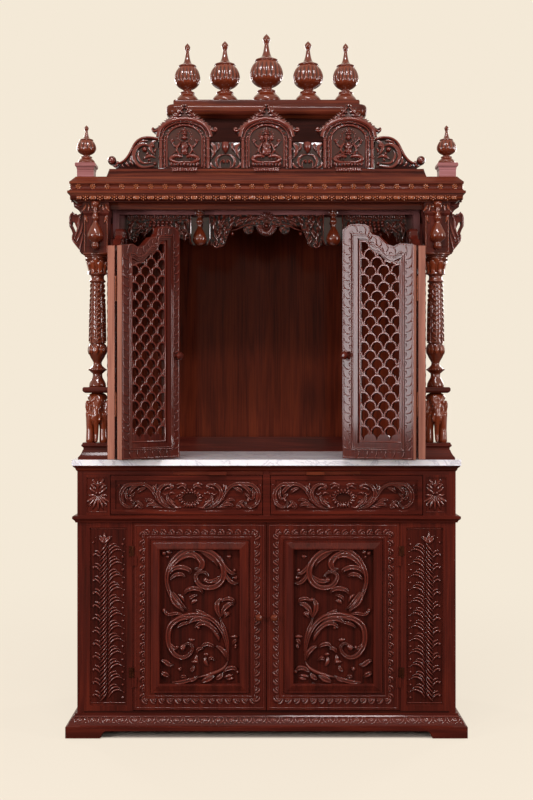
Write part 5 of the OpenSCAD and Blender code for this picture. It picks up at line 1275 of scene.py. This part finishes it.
def leaf_roll(bm, a, b, side):
    """Curled leaves in a flat roll from a to b, each 27 mm cut off from the next by a crescent."""
    along = (b - a).normalized()
    out = Vector((-along.y, along.x)) * side
    heading = math.degrees(math.atan2(along.y, along.x))
    count = max(1, round((b - a).length / 27))
    step = (b - a).length / count
    for k in range(count):
        at = a + along * (step * (k + 0.5))
        back = at - along * step * 0.42 - out * 8
        vein = at - along * step * 0.1 - out * 8.5
        stroke(bm, curl(back, heading + side * 95, step * 1.15, -side * 120, 0.6, 8), 4.2, 2.6, (0.5, 0.1), 0.45,
               1.0)
        stroke(bm, curl(vein, heading + side * 40, step * 0.5, -side * 70, 0.6, 5), 2.6, 1.8, (0.5, 0.1), 0.4,
               1.0)
        bead(bm, at + along * step * 0.28 - out * 8, 2.2, 3)


leaf_roll(face, Vector((16.5, 27)), Vector((16.5, LEAF_LOW - 18)), 1)
leaf_roll(face, Vector((LEAF_W - 16.5, 27)), Vector((LEAF_W - 16.5, LEAF_HIGH - 24)), -1)
leaf_roll(face, Vector((27, 16.5)), Vector((LEAF_W - 27, 16.5)), -1)
crest_line = top_line(17, 15, LEAF_W - 15, 60)
bends = [round(i * (len(crest_line) - 1) / 9) for i in range(10)]
for a, b in zip(bends, bends[1:]):
    leaf_roll(face, crest_line[a], crest_line[b], 1)

PITCH, HEAD_R, WEB = 44.0, 16.28, 5.0
SCALE_RISE = PITCH * 1.15
STILE, FOLD_STILE, RAIL, EDGE = 37, 50, 47, 9
field_low, field_high = STILE + EDGE, LEAF_W - FOLD_STILE - EDGE
field_mid = STILE + (LEAF_W - STILE - FOLD_STILE) / 2
lattice = bmesh.new()
lattice.verts.layers.float.new("crest")
bed = {round(p.x): p.y for p in top_line(43 + 8, 0, LEAF_W, 500)}
for j in range(27):
    for i in range(-3, 3):
        x = field_mid + (i + 0.25 + (j % 2) / 2) * PITCH
        z = RAIL + EDGE + SCALE_RISE * (0.48 + j / 2)
        arch = [Vector((x + (HEAD_R + WEB / 2) * math.cos(a), z + (HEAD_R + WEB / 2) * math.sin(a)))
                for a in (math.radians(t) for t in range(-24, 205, 12))]
        arch = [p for p in arch if field_low - 3 < p.x < field_high + 3 and 50 < p.y < bed.get(round(p.x), 590)]
        if len(arch) > 3:
            stroke(lattice, arch, 6.6, 1.0, (0.9, 0.9))
fret_rim = top_line(43 + 4, 41, LEAF_W - 54)
stroke(lattice, [Vector((41, 52)), Vector((41, 300)), Vector((41, fret_rim[0].y))] + fret_rim
       + [Vector((LEAF_W - 54, fret_rim[-1].y)), Vector((LEAF_W - 54, 300)), Vector((LEAF_W - 54, 52)),
          Vector((41, 52))], 6, 1.8, (1, 1))
bmesh.ops.translate(lattice, verts=lattice.verts, vec=(0, 6 * MM, 0))
add_cell(face, lattice)
leaf_face = saved_mesh(face)

jamb_x, jamb_y = 463.891, front_y + 133
fold_x, fold_y, Z_LEAF = 446.07, front_y - 100.19, 848
leaf_places = {}
for side, way, angle in (("right", 1, 28), ("left", -1, 46)):
    mirror = Matrix.Diagonal((way, 1, 1, 1))
    at_jamb = mirror @ shift(jamb_x, jamb_y, Z_LEAF) @ Matrix.Rotation(math.radians(93), 4, "Z")
    at_fold = mirror @ shift(fold_x, fold_y, Z_LEAF) @ Matrix.Rotation(math.radians(-angle), 4, "Z")
    leaf_places[f"leaf_{side}_outer"] = at_jamb @ shift(-GAP / 2 - LEAF_W, BARREL + LEAF_T, 0)
    leaf_places[f"leaf_{side}_inner"] = at_fold @ shift(-GAP / 2, -BARREL, 0) @ Matrix.Diagonal((-1, 1, 1, 1))
for name, place in leaf_places.items():
    bm = bmesh.new()
    for front in (True, False):
        add_copy(bm, leaf_face, place @ (shift(0, -LEAF_T, 0) if front else Matrix.Diagonal((1, -1, 1, 1))))
    finish_piece(bm, f"{name}_carving", carved, "mandir")

# Thin pale salmon strips lie on the leaves' edges at the fold: painted sheen.
edge_sheen_finish = polished_wood("pale salmon edge with painted sheen", "#7d4a3b", "#97604e", "#a9715c", "z",
                            rough=0.3, coat=0.7)
bm = bmesh.new()
for place in leaf_places.values():
    strip = bmesh.new()
    outline = [(-LEAF_T + 0.8, 1), (-0.8, 1), (-0.8, LEAF_LOW - 1), (-LEAF_T + 0.8, LEAF_LOW - 1)]
    board(strip, outline, 0, 0.8, 0.3)
    add_cell(bm, strip, place @ shift(0.1, 0, 0) @ Matrix.Rotation(math.radians(90), 4, "Z"))
finish_piece(bm, "leaf_edge_strips", edge_sheen_finish, "mandir", smooth=False)


# ---- Deck finials ----------------------------------------------------------
# Five turned finials in a row on the deck, the middle one tallest: a bell foot, a ball cut with
# gadroons, a collar and a spire that ends in a bud.
FINIAL = [(56, 0), (56, 16), (53, 20), (50, 25), (44, 30), (38, 36), (36.5, 40), (38.5, 43), (38, 46),
          (31, 49.5), (24, 52.5), (23, 56), (27, 60), (38, 65), (49, 72), (58, 81), (64, 92), (66, 103.5),
          (65, 115), (61, 128), (54, 141), (46, 150), (42, 153), (46, 155.5), (45.5, 159.5), (39, 162.5),
          (31, 165), (25, 168.5), (20, 173), (16.5, 180), (13.5, 189), (11, 200), (9.2, 210), (9, 218),
          (12, 226), (14.7, 234), (14, 240), (9.5, 247), (4, 252), (0, 256)]


def finial(bm, x, y, z, high, ball, ribs=20, steps=80):
    """A turned finial, its ball cut with gadroons; high and ball are its height and its ball's radius."""
    profile = [(p.x * ball / 66, p.y * high / 256) for p in through(FINIAL, 76)]
    turned(bm, [(0, 0)] + profile, shift(x, y, z), steps, ribs, (80 * high / 256, 151 * high / 256), 0.1)


upper_y = front_y + 180                      # front of the roof's upper block
deck_y = upper_y + 60
bm = bmesh.new()
for x, high, ball in ((0, 226, 54), (134, 203, 49), (-134, 203, 49), (255, 196, 42), (-255, 196, 42)):
    finial(bm, x, deck_y, 1978, high, ball)
piece = finish_piece(bm, "deck_finials_gadrooned", turned_finish, "mandir")
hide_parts("deck_finials")

# ---- Roof deck -------------------------------------------------------------
# The moulding under the finials: one broad cushion with full rounded ends, turned and sanded
# smooth, and a thin slab laid on it.
cell = bmesh.new()
section = [(0, 1918), (15, 1918), (16, 1923), (23, 1925), (28, 1930), (30, 1938), (30, 1947), (28.5, 1954),
           (25, 1959), (20, 1961), (10, 1961.5), (7.5, 1963), (7.5, 1975), (5.5, 1978), (0, 1978)]
edge = [cell.verts.new((r * math.cos(math.pi / 40), r * math.sin(math.pi / 40), z)) for r, z in section]
for a, b in zip(edge, edge[1:]):
    cell.edges.new((a, b))
bmesh.ops.spin(cell, geom=cell.verts[:] + cell.edges[:], cent=(0, 0, 0), axis=(0, 0, 1), angle=2 * math.pi,
               steps=40, use_merge=True)
bmesh.ops.remove_doubles(cell, verts=cell.verts, dist=0.001)
for v in cell.verts:                         # the four quarters are drawn apart to the deck's corners
    v.co.x += math.copysign(289, v.co.x) if abs(v.co.x) > 0.01 else 0
    v.co.y += math.copysign(97, v.co.y) if abs(v.co.y) > 0.01 else 0
    v.co *= MM
bm = bmesh.new()
add_cell(bm, cell, shift(0, upper_y + 100, 0))
piece = finish_piece(bm, "roof_deck_cushion", amber, "mandir")
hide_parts("roof_deck")


# ---- Arched panels ---------------------------------------------------------
# Three carved niches on the pediment: a board with an ogee hood that ends in scrolls, a moulded
# arch on two small pillars, and a seated temple figure on a lotus in the middle of each.
def both(points):
    """A left half, ending on the middle line, and its mirror image: one line of points."""
    return list(points) + [(-x, z) for x, z in reversed(points[:-1])]


def petals(bm, x0, x1, z, count, long, width, rise):
    """A row of lotus petals, bowed slightly at its ends."""
    for k in range(count):
        t = (k + 0.5) / count
        x = x0 + (x1 - x0) * t
        petal = [(x, z), (x + (t - 0.5) * long * 0.4, z + long * 0.6), (x + (t - 0.5) * long * 0.9, z + long)]
        stroke(bm, through(petal, 5), width, rise, (0.75, 0.0), 0.4, 0.7)


def seated_figure(kind):
    """A crowned figure with four arms, seated on a lotus; z is measured from the base board's top."""
    bm = bmesh.new()
    bm.verts.layers.float.new("crest")
    ring(bm, (0, 100), 19, 2.6, 3.5)
    for k in range(11):                                                   # rays of the halo
        a = -20 + 22 * k
        leaflet(bm, round_about((0, 100), 20, a), a, 7, 4, 0.1, 3)
    for way in (-1, 1):
        # raised arms
        stroke(bm, through([(way * 13, 79), (way * 26, 68), (way * 37, 79)], 8), 8, 10, (0.9, 0.6))
        bead(bm, (way * 38, 82), 4.6, 10, 1.2)
        for k in range(5):                                                # the flower in each hand
            leaflet(bm, (way * 38, 85), 90 + (k - 2) * 34, 10, 5, 0.1, 8)
        # lower arms
        stroke(bm, through([(way * 14, 78), (way * 24, 60), (way * 17, 45)], 8), 8.5, 12, (0.95, 0.7))
        bead(bm, (way * 16, 43), 5, 13)
        stroke(bm, through([(way * 6, 37), (way * 27, 40), (way * 43, 30), (way * 26, 20), (way * -4, 21)], 12),
               15, 13, (0.7, 0.5), 0.45)                                          # crossed legs
        for k in range(4):                                                # folds of the cloth
            fold = [(way * (12 + k * 7), 39 - k), (way * (17 + k * 7), 30), (way * (12 + k * 6), 21)]
            stroke(bm, through(fold, 5), 2, 14.2, (0.4, 0.4))
        # scarf
        stroke(bm, through([(way * 10, 92), (way * 17, 74), (way * 29, 52), (way * 40, 44)], 8), 4, 6,
               (0.5, 0.2))
    wide = 1.2 if kind == "broad" else 1.0
    bead(bm, (0, 70), 15 * wide, 12, 1.05)
    bead(bm, (0, 55), 13 * wide * wide, 13, 0.95)
    for k, (half, low) in enumerate(((9, 76), (12, 70), (13, 60))):        # necklaces
        stroke(bm, through([(-half, low + 9), (0, low), (half, low + 9)], 8), 2, 13.6 + k * 0.4, (0.6, 0.6))
    stroke(bm, through([(-15, 47), (0, 44), (15, 47)], 6), 4, 14.5, (0.8, 0.8))                       # girdle
    if kind == "broad":                                                   # elephant head, ears and trunk
        bead(bm, (0, 97), 11.5, 14, 1.0)
        for way in (-1, 1):
            bead(bm, (way * 15, 96), 8.5, 7, 1.25, way * 12)
            stroke(bm, through([(way * 5, 91), (way * 9, 85), (way * 10, 81)], 4), 2.6, 15, (0.9, 0.2))
            bead(bm, (way * 5, 99), 1.4, 15.3)
        stroke(bm, through([(0, 99), (0, 86), (-1, 74), (5, 66), (11, 68)], 12), 8, 17, (0.9, 0.45), 0.3)
    else:
        bead(bm, (0, 97), 8.6, 13, 1.2)
        stroke(bm, through([(-6.5, 104), (0, 107), (6.5, 104)], 6), 3, 13, (0.8, 0.8))                # hair
        stroke(bm, through([(0, 101), (0, 96)], 3), 2.2, 14.6, (0.5, 1.0))                            # nose
        stroke(bm, through([(-2.6, 92.6), (0, 92), (2.6, 92.6)], 4), 1.5, 13.2, (0.2, 0.2))            # mouth
        for way in (-1, 1):
            stroke(bm, through([(way * 1.8, 99.4), (way * 3.6, 100), (way * 5.4, 99.2)], 3), 1.5, 12.8,
                   (0.3, 0.3))
            bead(bm, (way * 8.6, 95), 2.2, 9, 1.8)
    for k, (w, high, z) in enumerate(((18, 12, 107), (15, 11, 112), (11, 10, 117), (7, 9, 121))):      # crown
        stroke(bm, [Vector((-w / 2, z)), Vector((0, z + 1.2)), Vector((w / 2, z))], 5.5, high + 1.5, (0.8, 0.8))
    bead(bm, (0, 126), 3, 9, 1.3)
    if kind == "lute":
        stroke(bm, through([(-32, 38), (0, 62), (34, 92)], 6), 5, 16, (0.9, 0.7))
        bead(bm, (-33, 36), 9, 16)
        bead(bm, (33, 92), 6.5, 14)
    petals(bm, -44, 44, 10, 9, 13, 10, 11)
    petals(bm, -40, 40, 1, 11, -12, 8, 12)
    stroke(bm, through([(-42, 3), (0, 1), (42, 3)], 8), 5, 9, (0.7, 0.7))
    return bm


pediment_y = front_y + 60
PANELS, ARCH_PITCH = 1737, 253
hood = both([(-79, 0), (-79, 107), (-86, 108), (-95, 112), (-99, 120), (-96, 127), (-90, 126), (-80, 130),
             (-66, 141), (-50, 152), (-34, 163), (-20, 173), (-11, 182), (-8, 190), (-10, 196), (-5, 200),
             (0, 201)])
outer_arch = both([(-82, 98), (-77, 116), (-66, 131), (-48, 143), (-25, 151), (0, 154)])
middle_arch = both([(-69, 98), (-64, 114), (-53, 127), (-38, 136), (-20, 142), (0, 144)])
inner_arch = both([(-54, 6), (-54, 50), (-54, 92), (-48, 110), (-34, 124), (-17, 132), (0, 135)])
bm = bmesh.new()
bm.verts.layers.float.new("crest")
for where, kind in ((-ARCH_PITCH, "plain"), (0, "broad"), (ARCH_PITCH, "lute")):
    panel = bmesh.new()
    panel.verts.layers.float.new("crest")
    board(panel, hood, 0, 24, 1.5, 0.3)
    stroke(panel, through(outer_arch, 36), 15, 14, (1, 1), 0.5, 0.95)
    stroke(panel, through(middle_arch, 30), 5.5, 9, (1, 1))
    stroke(panel, through(inner_arch, 40), 6, 8, (1, 1))
    stroke(panel, through(both([(-72, 98), (-66, 120), (-52, 134), (-30, 144), (0, 148)]), 30), 2.4, 12, (1, 1))
    for way in (-1, 1):
        for x, wide, rise in ((73, 12, 10), (61, 6, 7)):                       # pillar and strap
            stroke(panel, [Vector((way * x, z)) for z in (2, 34, 66, 98)], wide, rise, (1, 1))
        for z in (31, 36, 62, 88, 94):
            stroke(panel, [Vector((way * 66, z)), Vector((way * 73, z + 0.4)), Vector((way * 80, z))], 4, 12,
                   (0.8, 0.8))
        for k in range(6):
            leaflet(panel, (way * 61, 92 - k * 15), -90 + way * 8, 15, 8, way * 24, 9)
        for k in range(7):                                                     # leaf marks in the cove
            a = 90 + way * (10 + k * 12)
            leaflet(panel, round_about((0, 84), 58, a, 52 / 58), a + way * 55, 11, 6, way * -60, 6)
        for x, z, heading, size in ((3, 176, 62, 26), (10, 168, 40, 30), (22, 161, 34, 30), (36, 153, 28, 30),
                                    (50, 145, 22, 28), (64, 136, 16, 24)):     # leaves on the hood
            leaflet(panel, (way * x, z), 90 + way * -(150 - heading), size, 11, way * 70, 9, 0.55)
            leaflet(panel, (way * x, z - 3), 90 + way * -(124 - heading), size * 0.8, 9, way * 55, 7, 0.6)
        tail = through([(way * 72, 130), (way * 84, 119), (way * 95, 116), (way * 99, 122), (way * 95, 127)],
                       14)
        stroke(panel, tail, 8, 11, (0.9, 0.8), 0.4)
        if where * way <= 0 or abs(where) < 1:
            bead(panel, (way * 94, 123), 6, 13)
        stroke(panel, through([(way * 6, 192), (way * 9, 182), (way * 20, 170), (way * 38, 158)], 8), 5, 11,
               (0.8, 0.3))
    for x in (-4.2, 4.2):
        for z in (187.5, 195.5):
            bead(panel, (x, z), 4.2, 12)
    panel.from_mesh(saved_mesh(seated_figure(kind)))
    add_cell(bm, panel, shift(where, pediment_y, PANELS))
piece = finish_piece(bm, "pediment_panels_carved", carved, "mandir")
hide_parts("pediment_panels")

# ---- Infills and end scrolls -----------------------------------------------
# Pierced acanthus fills the gaps between the panels, and a sweeping scroll runs down at each end to
# a turned ball. Both are deeply cut from boards that are pegged to the pediment's base.
bm = bmesh.new()
bm.verts.layers.float.new("crest")
infill = bmesh.new()
infill.verts.layers.float.new("crest")
board(infill, both([(-47, 0), (-47, 78), (-42, 82), (-24, 84), (-8, 82), (0, 79)]), 0, 18, 1.0, 0.1)
stroke(infill, through([(0, 82), (0, 62), (0, 44)], 8), 27, 14, (0.95, 0.0), 0.25, 1.35)
for way in (-1, 1):
    stroke(infill, through([(way * 44, 80), (way * 33, 66), (way * 36, 46), (way * 45, 30)], 12), 13, 12,
           (0.7, 0.1), 0.35, 0.55)
    stroke(infill, through([(way * 22, 80), (way * 21, 66), (way * 29, 52)], 9), 9, 10, (0.8, 0.0), 0.3, 0.6)
    stroke(infill, through([(0, 45), (way * 18, 41), (way * 29, 26), (way * 24, 9), (way * 12, 3)], 16), 10, 15,
           (0.2, 0.2), 0.5, 0.75)
    stroke(infill, through([(way * 14, 2), (way * 17, 15), (way * 12, 25), (way * 4, 26), (way * 3, 19)], 14),
           5, 11, (0.6, 0.9), 0.4)
    bead(infill, (way * 6, 21), 4.6, 14)
    stroke(infill, through([(way * 26, 4), (way * 38, 6), (way * 45, 16), (way * 42, 24)], 10), 9, 11,
           (0.3, 0.1), 0.5, 0.6)
    stroke(infill, through([(way * 30, 44), (way * 39, 52), (way * 45, 64)], 8), 8, 9, (0.2, 0.1), 0.5, 0.6)
infills = saved_mesh(infill)
for way in (-1, 1):
    add_copy(bm, infills, shift(way * ARCH_PITCH / 2, pediment_y + 3, PANELS))
piece = finish_piece(bm, "pediment_infills_carved", carved, "mandir")
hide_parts("pediment_infills")

bm = bmesh.new()
bm.verts.layers.float.new("crest")
end = bmesh.new()
end.verts.layers.float.new("crest")
sweep = [(334, 96), (352, 100), (368, 101), (384, 98), (398, 90), (408, 78), (416, 62), (426, 44), (438, 30),
         (452, 22), (462, 24)]
ball = [(477 + 13 * math.cos(a), 26 + 14 * math.sin(a)) for a in (2.4, 1.6, 0.8, 0.0, -0.8, -1.6)]
board(end, [(334, 0)] + sweep + ball + [(468, 6), (462, 0)], 0, 22, 1.2, 0.12)
stroke(end, through([(x, z - 4) for x, z in sweep], 34), 9, 13, (1, 0.8), 0.5)
bead(end, (477, 27), 14, 15)
ring(end, (477, 27), 9, 2.4, 14.4)
stroke(end, through([(458, 24), (462, 10), (472, 8)], 6), 8, 11, (0.6, 0.5))
for spine, wide, high, cup in (
        (through([(346, 10), (384, 6), (404, 22), (410, 44), (400, 66), (380, 76), (362, 70), (358, 56)], 26),
         15, 15, 0.5),
        (through([(352, 20), (380, 18), (394, 32), (396, 48), (388, 58)], 16), 9, 12, 0.55),
        (through([(338, 88), (352, 80), (358, 66), (352, 50), (338, 42)], 16), 13, 14, 0.55),
        (through([(338, 64), (344, 56), (342, 46)], 8), 8, 12, 0.9),
        (through([(366, 88), (388, 84), (402, 70)], 10), 7, 10, 0.6),
        (through([(342, 34), (356, 40), (372, 36), (382, 26)], 12), 11, 13, 0.5),
        (through([(420, 40), (418, 22), (408, 8)], 10), 9, 11, 0.55),
        (through([(434, 26), (430, 14), (420, 5)], 8), 8, 10, 0.6),
        (through([(446, 18), (444, 10), (438, 4)], 6), 6, 9, 0.7)):
    stroke(end, spine, wide, high, (0.35, 0.0), 0.45, cup)
for x, z, r in ((376, 60, 9), (351, 71, 8), (367, 47, 6), (344, 16, 6), (362, 27, 5)):
    bead(end, (x, z), r, 15)
end_scroll = saved_mesh(end)
for way in (-1, 1):
    add_copy(bm, end_scroll, shift(0, pediment_y + 1, PANELS), way < 0)
piece = finish_piece(bm, "end_scrolls_carved", carved, "mandir")
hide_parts("end_scrolls")

# ---- Corner finials --------------------------------------------------------
# A small turned finial on a moulded square block at each front corner of the roof.
bm = bmesh.new()
blocks = bmesh.new()
for way in (-1, 1):
    x, y = way * 552.8, front_y + 39.7
    finial(bm, x, y, 1749, 119, 30, 14, 56)
    square_moulding(blocks, x, y, [(25.5, 1706), (25.5, 1728), (26.5, 1729), (26.5, 1733), (28, 1736),
                                   (30.5, 1738), (31.5, 1740), (31.5, 1746), (29.5, 1749)])
piece = finish_piece(bm, "corner_finials_gadrooned", turned_finish, "mandir")
base = finish_piece(blocks, "corner_finial_blocks", sheen_framing["x"], "mandir", smooth=False)
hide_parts("corner_finials")
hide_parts("corner_finials")
